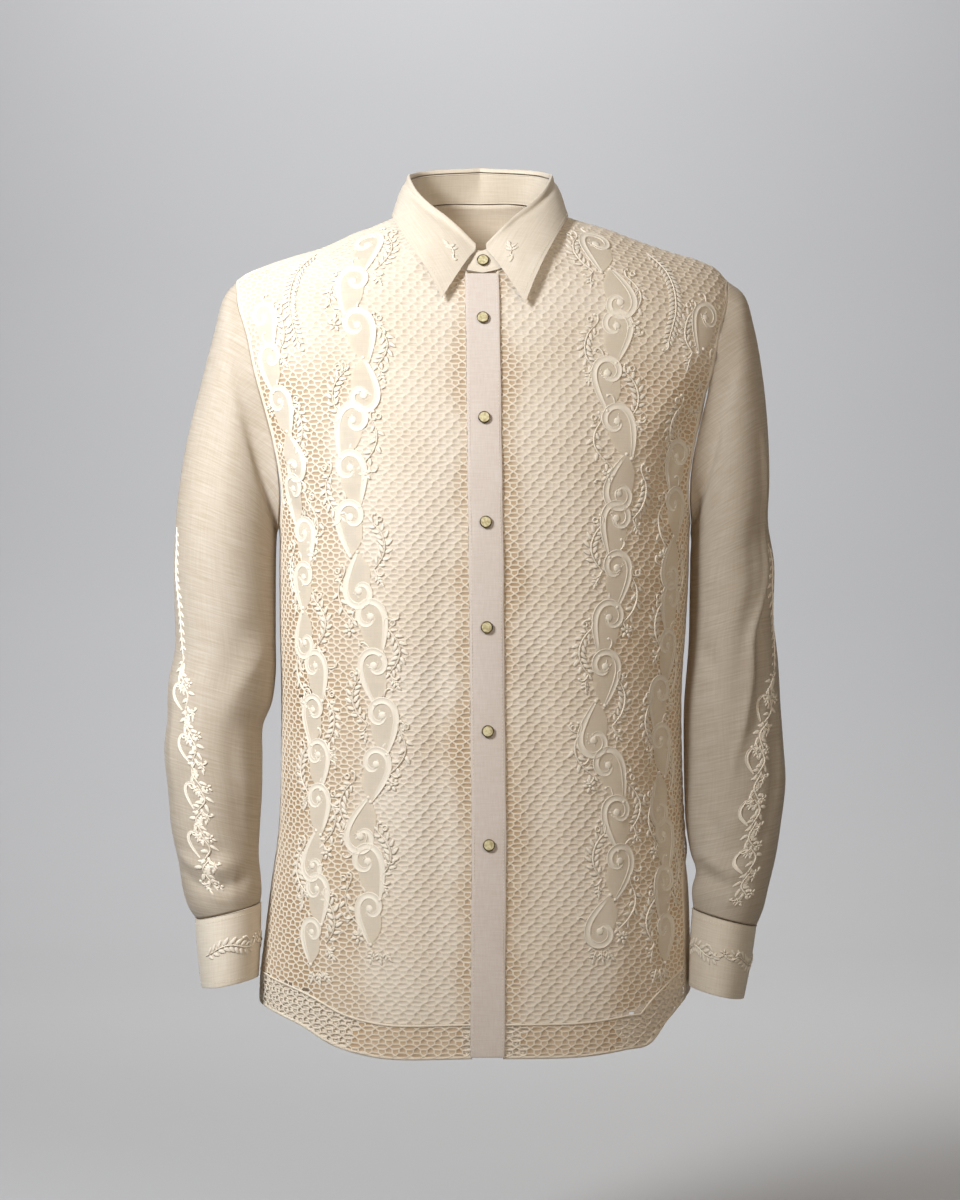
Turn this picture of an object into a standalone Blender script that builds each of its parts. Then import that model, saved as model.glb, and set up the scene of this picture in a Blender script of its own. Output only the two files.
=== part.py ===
"""Barong tagalog: a long-sleeved openwork shirt, filled out as if worn and hollow inside.

Every cloth piece is a wall lofted through sections of the body, the arms and the neck. Sizes are in
millimetres and become metres when a mesh is made. +Z is up, the front faces -Y, the wearer's right
is -X, and the origin is on the neck's line at the height of the shoulders, where the wearer holds it.
"""

import math

import bmesh
import bpy
import numpy as np
from mathutils import Vector

MM = 0.001

# Cloth and seams
WALL = 1.5
SEAM_GAP = 0.4
LAYER_STEP = 2.0
PLACKET_WIDTH = 30.4
UNDER_PLACKET_WIDTH = 27.0

# Body sections: a half width on the wearer's right and left, a depth before and behind the side line,
# and how far the middle leans aside.
BODY_COLUMNS = ("height", "right", "left", "front", "back", "middle")
BODY = (
    (30, 236, 236, 66, 70, -3.7),
    (6, 236, 236, 70, 81, -3.7),
    (-58, 236, 238, 82, 104, -2.0),
    (-107, 231, 231, 97, 113, -1.0),
    (-144, 226, 226, 106, 117, -0.5),
    (-181, 213, 213, 113, 119, 0.0),
    (-223, 201, 200, 119, 120, 0.5),
    (-262, 193.5, 192, 122, 119, 1.0),
    (-285, 191, 189, 123, 118, 1.5),
    (-332, 191, 187, 123, 114, 2.0),
    (-380, 191, 184, 122, 112, 2.4),
    (-431, 190.5, 180, 120, 110, 2.9),
    (-488, 191, 178, 119, 110, 3.5),
    (-574, 195, 180, 119, 115, 4.4),
    (-618, 201, 185, 120, 118, 4.2),
    (-661, 206, 187, 122, 122, 3.8),
    (-714, 211, 188, 125, 127, 3.4),
    (-770, 208, 186, 128, 132, 3.0),
)
FLANK_SQUARENESS = 2.5
CHEST_SQUARENESS = 2.2

# Shoulder line: its height on the wearer's right and left at a distance from the neck's middle, and
# how deep it rounds over.
SHOULDER_COLUMNS = ("reach", "right", "left")
SHOULDER = (
    (70, 4.0, 4.0),
    (82, -0.8, 0.2),
    (100, -8.5, -5.3),
    (114, -13.3, -9.3),
    (144, -26.8, -20.5),
    (180, -37.5, -33.0),
    (203, -45.5, -40.0),
    (220, -53.0, -49.5),
    (226, -57.2, -56.8),
    (236, -66.0, -66.0),
)
SHOULDER_DROP = 75.0
SHOULDER_BACK_DROP = 60.0
NECK_RISE = 60.0

# Neck seam
NECK_HALF_WIDTH = 70.0
NECK_SIDE = 4.0
NECK_FRONT = -58.5
NECK_BACK = 21.5
NECK_FRONT_CURVE = 2.2
NECK_BACK_CURVE = 3.6

# Armhole seam: how far from the middle it runs in front and behind.
ARMHOLE_COLUMNS = ("height", "front", "back")
ARMHOLE = (
    (-57, 226.5, 226.5),
    (-83, 224, 225),
    (-107, 216.5, 219),
    (-144, 209, 213),
    (-181, 199.5, 205),
    (-223, 189.5, 194),
    (-262, 186, 189),
    (-285, 189, 189.5),
)

# Hem: a shirt tail, lowest at the middle; the wearer's left holds low to a hanging fold and then steps up.
HEM_COLUMNS = ("turn", "right", "left")
HEM = (
    (0, -763, -763),
    (24, -763, -762),
    (37, -754, -758),
    (49, -739, -753),
    (56, -734, -738),
    (64, -730, -727),
    (90, -725, -714),
    (116, -731, -725),
    (140, -752, -750),
    (180, -768, -768),
)
HEM_LOWEST = -768.0
HEM_EASES_FROM = -640.0
SEAM_LEFT_LOW = 72.0
SEAM_LEFT_TOP = -560.0
SEAM_LEFT_BOTTOM = -620.0

# Sleeve sections: the outer and inner end of each section and its middle and half depth front to back.
SLEEVE_COLUMNS = ("outer", "outer_height", "inner", "inner_height", "middle", "depth")
SLEEVE_RIGHT = (
    (241, -72, 192.5, -291, 0, 50),
    (251, -108, 193.2, -298, 0, 56),
    (263, -155, 193.6, -306, 0, 60),
    (275.3, -205, 193.8, -317, 0, 63),
    (283, -252, 193.9, -334, -1, 64),
    (287.2, -305, 193.9, -360, -2, 63),
    (287, -354, 193.8, -391, -4, 61),
    (286.3, -400, 193.8, -425, -7, 59),
    (292, -430, 197, -449, -9, 58),
    (293, -465, 205.5, -472, -11, 57),
    (295.5, -490, 205.6, -497, -13, 56),
    (291.5, -533, 205.8, -532, -16, 54),
    (288.5, -565, 207.5, -562, -18, 52),
    (281, -600, 208.5, -592, -20, 50),
    (277, -624, 206.5, -612, -21, 48.5),
    (271, -640, 206, -626, -22, 47),
    (265.5, -647.5, 207, -633, -22, 45),
)
SLEEVE_LEFT = (
    (241, -70, 192.5, -291, 0, 50),
    (250.5, -100, 193.0, -297, 0, 56),
    (258.5, -145, 193.0, -304, 0, 60),
    (263.5, -196, 192.3, -315, 0, 62),
    (264.8, -242, 192.0, -331, -1, 62),
    (263.5, -282, 191.5, -354, -2, 61),
    (269, -320, 191, -379, -4, 60),
    (268.3, -372, 189.8, -404, -6, 59),
    (272, -408, 187.6, -428, -9, 58),
    (274.3, -450, 185.6, -455, -11, 57),
    (277, -490, 185.3, -492, -13, 56),
    (278.6, -522, 185.6, -527, -16, 55),
    (273.8, -560, 186.8, -561, -22, 53),
    (268, -592, 191, -588, -29, 50),
    (261.5, -617, 195.5, -604, -34, 48.5),
    (256, -638, 191.5, -621, -38, 47),
    (250, -652, 192.6, -637, -40, 45),
)
CUFF_RIGHT = ((266, -648.2, 206.5, -633.7, -22, 45.5), (260, -711, 208.8, -701.5, -24, 44))
CUFF_LEFT = ((249.5, -652.7, 192.0, -637.7, -40, 45.5), (237.5, -718.5, 188.3, -707.7, -46, 44))
CUFF_LAP = 30.0
CUFF_OPENING = 285.0

# Collar: the fold where the fall turns over the stand, and the fall's lower edge, from front to back.
COLLAR_COLUMNS = ("fold", "fold_depth", "fold_height", "edge", "edge_depth", "edge_height")
COLLAR = (
    (4.5, -74, -31, 36.5, -97, -82),
    (19, -70, -15.6, 44.5, -93, -64),
    (31, -63, -4, 56, -86, -44.5),
    (45, -51, 8, 69.5, -66, -22),
    (57, -33, 22, 80, -33, -2.5),
    (64.5, -4, 38.5, 80.5, 2, 3.5),
    (62, 22, 45, 75, 40, 6),
    (46, 44, 50.5, 50, 73, 10),
    (0, 61, 55, 0, 86, 12),
)
NECK_SPREAD = 0.9
NECK_CENTRE_DEPTH = -5.0
STAND_OVER_SHARE = 0.053
STAND_UNDER_SHARE = 0.045
LAP_FROM = 0.27
LAP_EASE = 0.17
LAP_LIFT = 0.8
STAND_LIFT = 1.4
STAND_SEAM_DROP = 4.7
STAND_SLANT = 9.0
LEFT_POINT_DROP = 4.6
LEFT_POINT_REACH = 1.2
LEFT_POINT_SHARE = 0.4
# The fold's turn: how far it stands off the stand, and its rise above or below the fold's crest.
FOLD_TURN_COLUMNS = ("stand_off", "rise")
FOLD_TURN = ((0.0, -3.7), (0.2, -1.6), (1.3, 0.0), (2.6, -1.4), (3.3, -5.0))
FALL_BULGE = 2.6
FALL_BULGE_HIGH = 0.75

# Buttons: the height of each on the front band
BUTTON_DIAMETER = 11.0
BUTTON_THICKNESS = 2.6
BUTTON_RIM = 1.1
BUTTON_DISH = 0.35
BUTTON_BACK_SHARE = 0.86
NECK_BUTTON_ACROSS = -1.0
NECK_BUTTON_HEIGHT = -46.9
BUTTON_HEIGHTS = (-100.7, -191.1, -284.5, -378.5, -471.6, -573.7)
CUFF_BUTTON_DIAMETER = 9.0
BUTTON_CLEARANCE = 0.35

# How finely the walls are cut into facets
BACK_NECK_ROWS = (21.0, 18.0, 13.0, 8.0)
SHOULDER_ROWS = (3.0, -4.0, -12.0, -22.0, -33.0, -43.0)
FRONT_COLUMNS_OF_FACETS = 9
BACK_COLUMNS_OF_FACETS = 16
SLEEVE_FACETS_ROUND = 18
COLLAR_FACETS_ROUND = 32
STAND_FACETS_UP = 3
FALL_FACETS_DOWN = 3
CUFF_FACETS_ROUND = 26
CUFF_FACETS_DOWN = 2
BAND_FACETS_DOWN = 22
BAND_FACETS_ACROSS = 2
BUTTON_SIDES = 16


def column(columns, rows, name):
    return np.array([row[columns.index(name)] for row in rows], float)


def smooth(xs, ys, at):
    """A smooth curve through the points (xs, ys), held at its end values beyond them."""
    xs, ys = np.asarray(xs, float), np.asarray(ys, float)
    if xs[0] > xs[-1]:
        xs, ys = xs[::-1], ys[::-1]
    chords = np.diff(ys) / np.diff(xs)
    spans = np.diff(xs)
    slopes = np.empty(len(xs))
    slopes[0], slopes[-1] = chords[0], chords[-1]
    slopes[1:-1] = (chords[:-1] * spans[1:] + chords[1:] * spans[:-1]) / (spans[1:] + spans[:-1])
    at = np.clip(at, xs[0], xs[-1])
    i = np.clip(np.searchsorted(xs, at) - 1, 0, len(xs) - 2)
    h = xs[i + 1] - xs[i]
    t = (at - xs[i]) / h
    return (
        (1 + 2 * t) * (1 - t) ** 2 * ys[i]
        + t * (1 - t) ** 2 * h * slopes[i]
        + t * t * (3 - 2 * t) * ys[i + 1]
        + t * t * (t - 1) * h * slopes[i + 1]
    )


def ease(t):
    t = np.clip(t, 0.0, 1.0)
    return t * t * (3 - 2 * t)


def body(name, height):
    return smooth(column(BODY_COLUMNS, BODY, "height"), column(BODY_COLUMNS, BODY, name), height)


def shoulder_height(side, reach):
    """How high the shoulder line is; inside the neck it is carried on as a dome."""
    reach = np.abs(reach)
    stations = column(SHOULDER_COLUMNS, SHOULDER, "reach")
    right = smooth(stations, column(SHOULDER_COLUMNS, SHOULDER, "right"), reach)
    left = smooth(stations, column(SHOULDER_COLUMNS, SHOULDER, "left"), reach)
    dome = NECK_SIDE + NECK_RISE * (1 - (reach / NECK_HALF_WIDTH) ** 2)
    return np.where(reach < NECK_HALF_WIDTH, dome, np.where(side < 0, right, left))


def shoulder_reach(side, height):
    """How far out the shoulder line is at a height; past its end, far beyond the flank."""
    reach = np.linspace(0, SHOULDER[-1][0], 2 * SHOULDER[-1][0] + 1)
    right, left = (np.interp(-height, -shoulder_height(one, reach), reach) for one in (-1, 1))
    return np.where(height < SHOULDER[-1][1], 1e6, np.where(side < 0, right, left))


def flank_reach(side, height):
    return np.where(side < 0, body("right", height), body("left", height))


def section_reach(side, height):
    return np.minimum(flank_reach(side, height), shoulder_reach(side, height))


def turn_at(side, height, reach):
    """The turn, from 0 at the middle to 90 at the side line, at which a section has this reach."""
    share = np.clip(reach / section_reach(side, height), 0, 1)
    return np.degrees(np.arcsin(share ** (FLANK_SQUARENESS / 2)))


def body_point(side, turn, height):
    """A point of the body: turn 0 is the middle of the front, 90 the side line, 180 that of the back."""
    side, turn, height = np.broadcast_arrays(*(np.asarray(a, float) for a in (side, turn, height)))
    behind = turn > 90
    quarter = np.radians(np.where(behind, 180 - turn, turn))
    reach = section_reach(side, height) * np.abs(np.sin(quarter)) ** (2 / FLANK_SQUARENESS)
    share = reach / flank_reach(side, height)
    ring = np.maximum(1 - share**FLANK_SQUARENESS, 0) ** (1 / CHEST_SQUARENESS)
    drop = np.where(behind, SHOULDER_BACK_DROP, SHOULDER_DROP)
    under = np.clip((shoulder_height(side, reach) - height) / drop, 0, 1)
    arch = np.sqrt(1 - (1 - under) ** 2)
    depth = np.where(behind, body("back", height), -body("front", height))
    x = body("middle", height) + np.sign(side) * reach
    return np.stack([x, depth * ring * arch, height], axis=-1)


def hem_height(side, turn):
    """The hem's height round the body."""
    turns = column(HEM_COLUMNS, HEM, "turn")
    right = smooth(turns, column(HEM_COLUMNS, HEM, "right"), turn)
    left = smooth(turns, column(HEM_COLUMNS, HEM, "left"), turn)
    return np.where(side < 0, right, left)


def eased(height, side, turn):
    """A level row's height once the hem's curve is spread over the rows near it."""
    share = np.clip((HEM_EASES_FROM - height) / (HEM_EASES_FROM - HEM_LOWEST), 0, 1)
    dropped = HEM_EASES_FROM + (hem_height(side, turn) - HEM_EASES_FROM) * share
    return np.where(height < HEM_EASES_FROM, dropped, height)


def neck_reach(height, behind):
    if behind:
        share = (NECK_BACK - height) / (NECK_BACK - NECK_SIDE)
        return NECK_HALF_WIDTH * np.clip(share, 0, 1) ** (1 / NECK_BACK_CURVE)
    share = (height - NECK_FRONT) / (NECK_SIDE - NECK_FRONT)
    return NECK_HALF_WIDTH * np.clip(share, 0, 1) ** (1 / NECK_FRONT_CURVE)


def armhole_reach(height, name):
    return smooth(
        column(ARMHOLE_COLUMNS, ARMHOLE, "height"), column(ARMHOLE_COLUMNS, ARMHOLE, name), height
    )


def side_seam_turn(side, height):
    """The side seam keeps to the side line; low on the wearer's left it swings forward."""
    if side < 0:
        return 90.0
    share = ease((SEAM_LEFT_TOP - height) / (SEAM_LEFT_TOP - SEAM_LEFT_BOTTOM))
    return float(90.0 + (SEAM_LEFT_LOW - 90.0) * share)


def outer_turn(side, height, behind):
    """Where a front or back ends at a height: the shoulder, the armhole or the side seam."""
    tip, armpit = ARMHOLE[0][0], ARMHOLE[-1][0]
    if height > tip:
        return 90.0
    if height < armpit:
        return side_seam_turn(side, height)
    turn = float(turn_at(side, height, armhole_reach(height, "back" if behind else "front")))
    return 180 - turn if behind else turn


def loft(name, rows, closed=False):
    """A cloth wall through rows of points. Each row is open, or closed into a ring."""
    grid = bmesh.new()
    lines = [[grid.verts.new(np.asarray(point) * MM) for point in row] for row in rows]
    for above, below in zip(lines, lines[1:]):
        count = len(above)
        for i in range(count if closed else count - 1):
            j = (i + 1) % count
            grid.faces.new((above[i], above[j], below[j], below[i]))
    piece = place(name, grid)
    solidify = piece.modifiers.new("wall", "SOLIDIFY")
    solidify.thickness = WALL * MM
    solidify.offset = 0.0
    return piece


def place(name, shape):
    """Puts a shape in the shirt's collection as an object of its own."""
    mesh = bpy.data.meshes.new(name)
    shape.to_mesh(mesh)
    shape.free()
    mesh.shade_smooth()
    piece = bpy.data.objects.new(name, mesh)
    shirt.objects.link(piece)
    return piece


def finish(piece, colour, roughness, sheen=0.0):
    """Gives a piece a material of its own."""
    material = bpy.data.materials.new(piece.name)
    material.use_nodes = True
    shader = material.node_tree.nodes["Principled BSDF"]
    shader.inputs["Base Color"].default_value = (*colour, 1.0)
    shader.inputs["Roughness"].default_value = roughness
    shader.inputs["Metallic"].default_value = 0.0
    shader.inputs["Sheen Weight"].default_value = sheen
    piece.data.materials.clear()
    piece.data.materials.append(material)
    return piece


LATTICE_CREAM = (0.80, 0.70, 0.52)
PLAIN_CREAM = (0.82, 0.73, 0.57)
ROSY_BEIGE = (0.72, 0.62, 0.53)
OLIVE_GOLD = (0.52, 0.47, 0.28)


def row_heights(upper):
    """Level rows from the top of a panel to the lowest hem."""
    lower = (-52, -62, -82, -104, -128, -155, -185, -216, -246, -268, -281, -300, -345, -405, -470, -530)
    tail = (-575, -610, -645, -680, -712, -740, HEM_LOWEST)
    return tuple(upper) + lower + tail


def seam_edge(edge, inside):
    """An edge point drawn back from its seam by half the gap."""
    back = inside - edge
    return edge + back / np.linalg.norm(back) * SEAM_GAP / 2


def make_front(name, side):
    """One openwork front, from beside the band to the side seam, cut away for the neck and the arm."""
    rows = []
    for height in row_heights(SHOULDER_ROWS):
        reach = max(float(neck_reach(height, False)), UNDER_PLACKET_WIDTH / 2 + SEAM_GAP)
        inner = float(turn_at(side, height, reach))
        turns = np.linspace(inner, outer_turn(side, height, False), FRONT_COLUMNS_OF_FACETS + 1)
        points = body_point(side, turns, eased(height, side, turns))
        points[-1] = seam_edge(points[-1], points[-2])
        rows.append(points)
    piece = loft(name, rows)
    return finish(piece, LATTICE_CREAM, 0.7, 0.2)


def make_back():
    """The plain back, one piece from side seam to side seam."""
    rows = []
    for height in row_heights(BACK_NECK_ROWS + SHOULDER_ROWS):
        halves = []
        for side in (-1, 1):
            outer = outer_turn(side, height, True)
            if height > NECK_SIDE:
                outer = 180 - float(turn_at(side, height, neck_reach(height, True)))
            turns = np.linspace(outer, 180, BACK_COLUMNS_OF_FACETS // 2 + 1)
            points = body_point(side, turns, eased(height, side, turns))
            points[0] = seam_edge(points[0], points[1])
            halves.append(points)
        rows.append(np.concatenate([halves[0], halves[1][-2::-1]]))
    piece = loft("back", rows)
    return finish(piece, ROSY_BEIGE, 0.75, 0.2)


def chest_point(x, height, out=0.0):
    """A point at a distance x to the left of the front's middle, moved out of the cloth."""
    side = -1 if x < 0 else 1
    here, above = (body_point(side, turn_at(side, z, abs(x)), z) for z in (height, height + 2.0))
    up = above - here
    normal = np.array([0.0, -up[2], up[1]]) / math.hypot(up[1], up[2])
    return here + out * normal, normal


def make_band(name, width, out):
    """A plain band down the middle of the front, from the neck seam to the hem."""
    rows = []
    for height in np.linspace(NECK_FRONT - SEAM_GAP, HEM[0][1], BAND_FACETS_DOWN + 1):
        across = np.linspace(-width / 2, width / 2, BAND_FACETS_ACROSS + 1)
        rows.append([chest_point(x, height, out)[0] for x in across])
    return finish(loft(name, rows), ROSY_BEIGE, 0.65, 0.15)


def armhole_ring(side, count):
    """The armhole seam as a ring: from the tip of the shoulder down the front and up the back."""
    tip, armpit = ARMHOLE[0][0], ARMHOLE[-1][0]
    ring = []
    for angle in np.linspace(0, 2 * math.pi, count, endpoint=False):
        behind = angle > math.pi
        height = (tip + armpit) / 2 + (tip - armpit) / 2 * math.cos(angle)
        reach = armhole_reach(height, "back" if behind else "front")
        turn = float(turn_at(side, height, reach))
        point = body_point(side, 180 - turn if behind else turn, height)
        ring.append(point)
    return np.array(ring)


def arm_axes(side, row):
    """The centre of an arm's section, its half towards the outer end and its half towards the front."""
    section = dict(zip(SLEEVE_COLUMNS, row))
    outer = np.array([side * section["outer"], section["middle"], section["outer_height"]])
    inner = np.array([side * section["inner"], section["middle"], section["inner_height"]])
    return (outer + inner) / 2, (outer - inner) / 2, np.array([0.0, -section["depth"], 0.0])


def sleeve_ring(side, row, count):
    centre, outward, forward = arm_axes(side, row)
    angles = np.linspace(0, 2 * math.pi, count, endpoint=False)[:, None]
    return centre + np.cos(angles) * outward + np.sin(angles) * forward


def make_sleeve(name, side, sections):
    """A sleeve from the armhole to the top of the cuff."""
    count = SLEEVE_FACETS_ROUND
    first = sleeve_ring(side, sections[0], count)
    seam = armhole_ring(side, count)
    step = first - seam
    step /= np.linalg.norm(step, axis=1)[:, None]
    low = ease((np.cos(np.linspace(math.pi, 3 * math.pi, count, endpoint=False)) - 0.2) / 0.8)
    clear = 0.8 * step + np.outer(low, [side * (WALL + 0.8), 0, -0.4]) + [side * 0.5, 0, 0]
    rows = [seam + clear] + [sleeve_ring(side, section, count) for section in sections]
    piece = loft(name, rows, closed=True)
    return finish(piece, PLAIN_CREAM, 0.6, 0.3)


def make_button(name, place_at, outward, diameter):
    """A round button that lies on the cloth, its face dished inside a rim."""
    shape = bmesh.new()
    bmesh.ops.create_cone(
        shape,
        cap_ends=True,
        segments=BUTTON_SIDES,
        radius1=diameter / 2 * BUTTON_BACK_SHARE * MM,
        radius2=diameter / 2 * MM,
        depth=BUTTON_THICKNESS * MM,
    )
    face = max(shape.faces, key=lambda one: one.calc_center_median().z)
    bmesh.ops.inset_region(
        shape, faces=[face], thickness=BUTTON_RIM * MM, depth=-BUTTON_DISH * MM, use_even_offset=True
    )
    button = place(name, shape)
    button.location = (place_at + outward * (BUTTON_CLEARANCE + BUTTON_THICKNESS / 2)) * MM
    button.rotation_euler = Vector(outward).to_track_quat("Z", "Y").to_euler()
    return finish(button, OLIVE_GOLD, 0.35)


def lapped_angles(start, lap, count):
    """Angles once round and on over the start, each with how far the strip stands out there."""
    angles = np.linspace(start, start + 360 + lap, count)
    return [(angle, LAYER_STEP * float(ease((angle - start - 330 + lap) / 30))) for angle in angles]


def make_cuff(name, side, top, bottom):
    """A cuff: a stiff strip wound round once, lapped at the back and held by a button."""
    rows = []
    for share in np.linspace(0, 1, CUFF_FACETS_DOWN + 1):
        centre, outward, forward = arm_axes(side, np.array(top) * (1 - share) + np.array(bottom) * share)
        row = []
        for angle, out in lapped_angles(CUFF_OPENING, CUFF_LAP, CUFF_FACETS_ROUND):
            arm = math.cos(math.radians(angle)) * outward + math.sin(math.radians(angle)) * forward
            row.append(centre + arm * (1 + out / np.linalg.norm(arm)))
        rows.append(row)
    finish(loft(name, rows), PLAIN_CREAM, 0.6, 0.25)
    middle_row = rows[CUFF_FACETS_DOWN // 2]
    seat = (middle_row[-1] + middle_row[-2]) / 2
    along = middle_row[-1] - middle_row[-2]
    outward = np.cross(along, rows[0][-2] - rows[-1][-2])
    outward *= np.sign(np.dot(outward, seat - np.mean(middle_row, axis=0))) / np.linalg.norm(outward)
    make_button(name + "_button", seat + outward * WALL / 2, outward, CUFF_BUTTON_DIAMETER)


def neck_seam(side, share):
    """The neck seam from the middle of the front, share 0, by the shoulder to that of the back, 1."""
    reach = NECK_HALF_WIDTH * math.sin(share * math.pi) ** NECK_SPREAD
    behind = share > 0.5
    away = reach / NECK_HALF_WIDTH
    if behind:
        height = NECK_BACK - (NECK_BACK - NECK_SIDE) * away**NECK_BACK_CURVE
    else:
        height = NECK_FRONT + (NECK_SIDE - NECK_FRONT) * away**NECK_FRONT_CURVE
    turn = float(turn_at(side, height, reach))
    return body_point(side, 180 - turn if behind else turn, height)


def collar_lines(side, share):
    """The fold and the fall's edge at a share of the way from front to back."""
    stations = np.linspace(0, 1, len(COLLAR))
    at = {}
    for name in COLLAR_COLUMNS:
        at[name] = float(smooth(stations, column(COLLAR_COLUMNS, COLLAR, name), share))
    if side > 0:
        point = float(ease(1 - share / LEFT_POINT_SHARE))
        at["edge"] += LEFT_POINT_REACH * point
        at["edge_height"] -= LEFT_POINT_DROP * point
    fold = [float(body("middle", at["fold_height"])) + side * at["fold"], at["fold_depth"], at["fold_height"]]
    edge = [float(body("middle", at["edge_height"])) + side * at["edge"], at["edge_depth"], at["edge_height"]]
    return np.array(fold), np.array(edge)


def away_from_neck(point):
    """Level unit vector out of the neck at a point."""
    out = np.array([point[0] - float(body("middle", 6.0)), point[1] - NECK_CENTRE_DEPTH, 0.0])
    return out / np.linalg.norm(out)


def collar_stations(over, under):
    """(side, share) round the neck: from under the front on the wearer's left, round by the right."""
    ends = [(1, under), (1, under / 2)]
    round_right = [(-1, share) for share in np.linspace(0, 1, COLLAR_FACETS_ROUND // 2 + 1)]
    round_left = [(1, share) for share in np.linspace(1, 0, COLLAR_FACETS_ROUND // 2 + 1)[1:]]
    return ends + round_right + round_left + [(-1, over / 2), (-1, over)]


def stand_out_at(share):
    """How far the collar's left half stands out, so that its end laps over the right."""
    return LAYER_STEP * float(ease((LAP_FROM - share) / LAP_EASE))


def make_stand():
    """The collar's stand: it rises from the neck seam and laps at the front, its upper end slanted."""
    stations = collar_stations(STAND_OVER_SHARE, STAND_UNDER_SHARE)
    over_from = len(stations) - 2
    left_half_from = over_from - COLLAR_FACETS_ROUND // 2
    rows = [[] for _ in range(STAND_FACETS_UP + 1)]
    for index, (side, share) in enumerate(stations):
        out = 0.0
        if index >= over_from:
            out = LAYER_STEP
        elif index >= left_half_from:
            out = stand_out_at(share)
        low = neck_seam(side, share)
        low[2] += SEAM_GAP + (STAND_LIFT + LAP_LIFT * out) * math.sin(share * math.pi) ** 0.5
        high = collar_lines(side, share)[0]
        high[2] -= STAND_SEAM_DROP
        if index >= over_from or index < 2:
            high = collar_lines(side, 0)[0]
            high[0] = low[0]
            high[2] -= STAND_SEAM_DROP + STAND_SLANT * share / STAND_OVER_SHARE
        for row, up in zip(rows, np.linspace(0, 1, STAND_FACETS_UP + 1)):
            point = low + (high - low) * up
            row.append(point + out * away_from_neck(point))
    finish(loft("collar_stand", rows), PLAIN_CREAM, 0.6, 0.2)
    # The neck button sits where the lapped ends cross the middle.
    foot, head = rows[0][over_from - 1], rows[-1][over_from - 1]
    up = (head - foot) / np.linalg.norm(head - foot)
    outward = np.array([0.0, -up[2], up[1]])
    seat = foot + up * (NECK_BUTTON_HEIGHT - foot[2]) / up[2]
    seat[0] = NECK_BUTTON_ACROSS
    make_button("button_collar", seat + outward * WALL / 2, outward, BUTTON_DIAMETER)


def make_fall():
    """The collar's fall: it starts on the stand, turns over the fold and lies on the shoulders."""
    half = COLLAR_FACETS_ROUND // 2
    stations = [(-1, share) for share in np.linspace(0, 1, half + 1)]
    stations += [(1, share) for share in np.linspace(1, 0, half + 1)[1:]]
    rows = [[] for _ in range(len(FOLD_TURN) + FALL_FACETS_DOWN)]
    for side, share in stations:
        fold, edge = collar_lines(side, share)
        lap = stand_out_at(share)
        out = away_from_neck(fold)
        turned = [fold + out * (stand_off + lap) + [0, 0, rise] for stand_off, rise in FOLD_TURN]
        edge += lap * away_from_neck(edge)
        bulge = FALL_BULGE * away_from_neck(edge)
        hanging = []
        for down in np.linspace(0, 1, FALL_FACETS_DOWN + 1)[1:]:
            straight = turned[-1] * (1 - down) + edge * down
            hanging.append(straight + bulge * math.sin(math.pi * down**FALL_BULGE_HIGH))
        for row, point in zip(rows, turned + hanging):
            row.append(point)
    finish(loft("collar_fall", rows), PLAIN_CREAM, 0.6, 0.2)


shirt = bpy.data.collections.new("barong_tagalog_shirt")


def main():
    for thing in list(bpy.data.objects):
        bpy.data.objects.remove(thing)
    bpy.context.scene.collection.children.link(shirt)
    make_front("front_right", -1)
    make_front("front_left", 1)
    make_back()
    make_band("under_placket", UNDER_PLACKET_WIDTH, 0.0)
    make_band("placket", PLACKET_WIDTH, LAYER_STEP)
    for number, height in enumerate(BUTTON_HEIGHTS, 1):
        seat, outward = chest_point(0.0, height, LAYER_STEP + WALL / 2)
        make_button(f"button_{number}", seat, outward, BUTTON_DIAMETER)
    make_stand()
    make_fall()
    make_sleeve("sleeve_right", -1, SLEEVE_RIGHT)
    make_sleeve("sleeve_left", 1, SLEEVE_LEFT)
    make_cuff("cuff_right", -1, *CUFF_RIGHT)
    make_cuff("cuff_left", 1, *CUFF_LEFT)


main()
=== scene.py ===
"""Barong tagalog: the looks of a long-sleeved openwork shirt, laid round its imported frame.

Cloth is drawn flat, in millimetres across and up with a height above the cloth, and then laid on the
body, the arms or the collar. +Z is up, the front faces -Y, and the wearer's right is -X.
"""

import math
from functools import cache

import bmesh
import bpy
import numpy as np
from bpy.props import FloatProperty, FloatVectorProperty, PointerProperty
from mathutils import Matrix, Vector, noise


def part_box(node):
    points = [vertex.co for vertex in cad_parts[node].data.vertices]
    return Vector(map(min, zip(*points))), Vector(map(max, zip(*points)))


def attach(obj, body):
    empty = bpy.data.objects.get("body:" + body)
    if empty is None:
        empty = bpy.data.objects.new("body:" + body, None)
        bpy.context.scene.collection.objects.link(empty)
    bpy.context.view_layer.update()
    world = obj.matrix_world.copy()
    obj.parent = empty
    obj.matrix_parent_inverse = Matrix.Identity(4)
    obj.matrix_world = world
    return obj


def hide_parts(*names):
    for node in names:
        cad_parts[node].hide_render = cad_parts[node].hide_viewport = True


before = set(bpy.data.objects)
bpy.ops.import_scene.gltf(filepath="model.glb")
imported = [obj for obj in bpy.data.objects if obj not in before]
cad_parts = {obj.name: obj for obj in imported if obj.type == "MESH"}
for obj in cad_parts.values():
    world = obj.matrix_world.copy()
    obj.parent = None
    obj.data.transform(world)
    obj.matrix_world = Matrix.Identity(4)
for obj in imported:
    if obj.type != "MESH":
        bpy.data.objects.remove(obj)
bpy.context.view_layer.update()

bl_info = {
    "name": "Barong tagalog shirt",
    "version": (1, 0, 0),
    "blender": (4, 5, 0),
    "location": "3D View > Sidebar > Barong",
    "description": "Makes an openwork shirt with its needlework, seams and buttons",
    "category": "Object",
}

MM = 0.001
TINY = 1e-9

# ---- The form of the cloth: the same sizes as the solids, in millimetres ----

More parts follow.
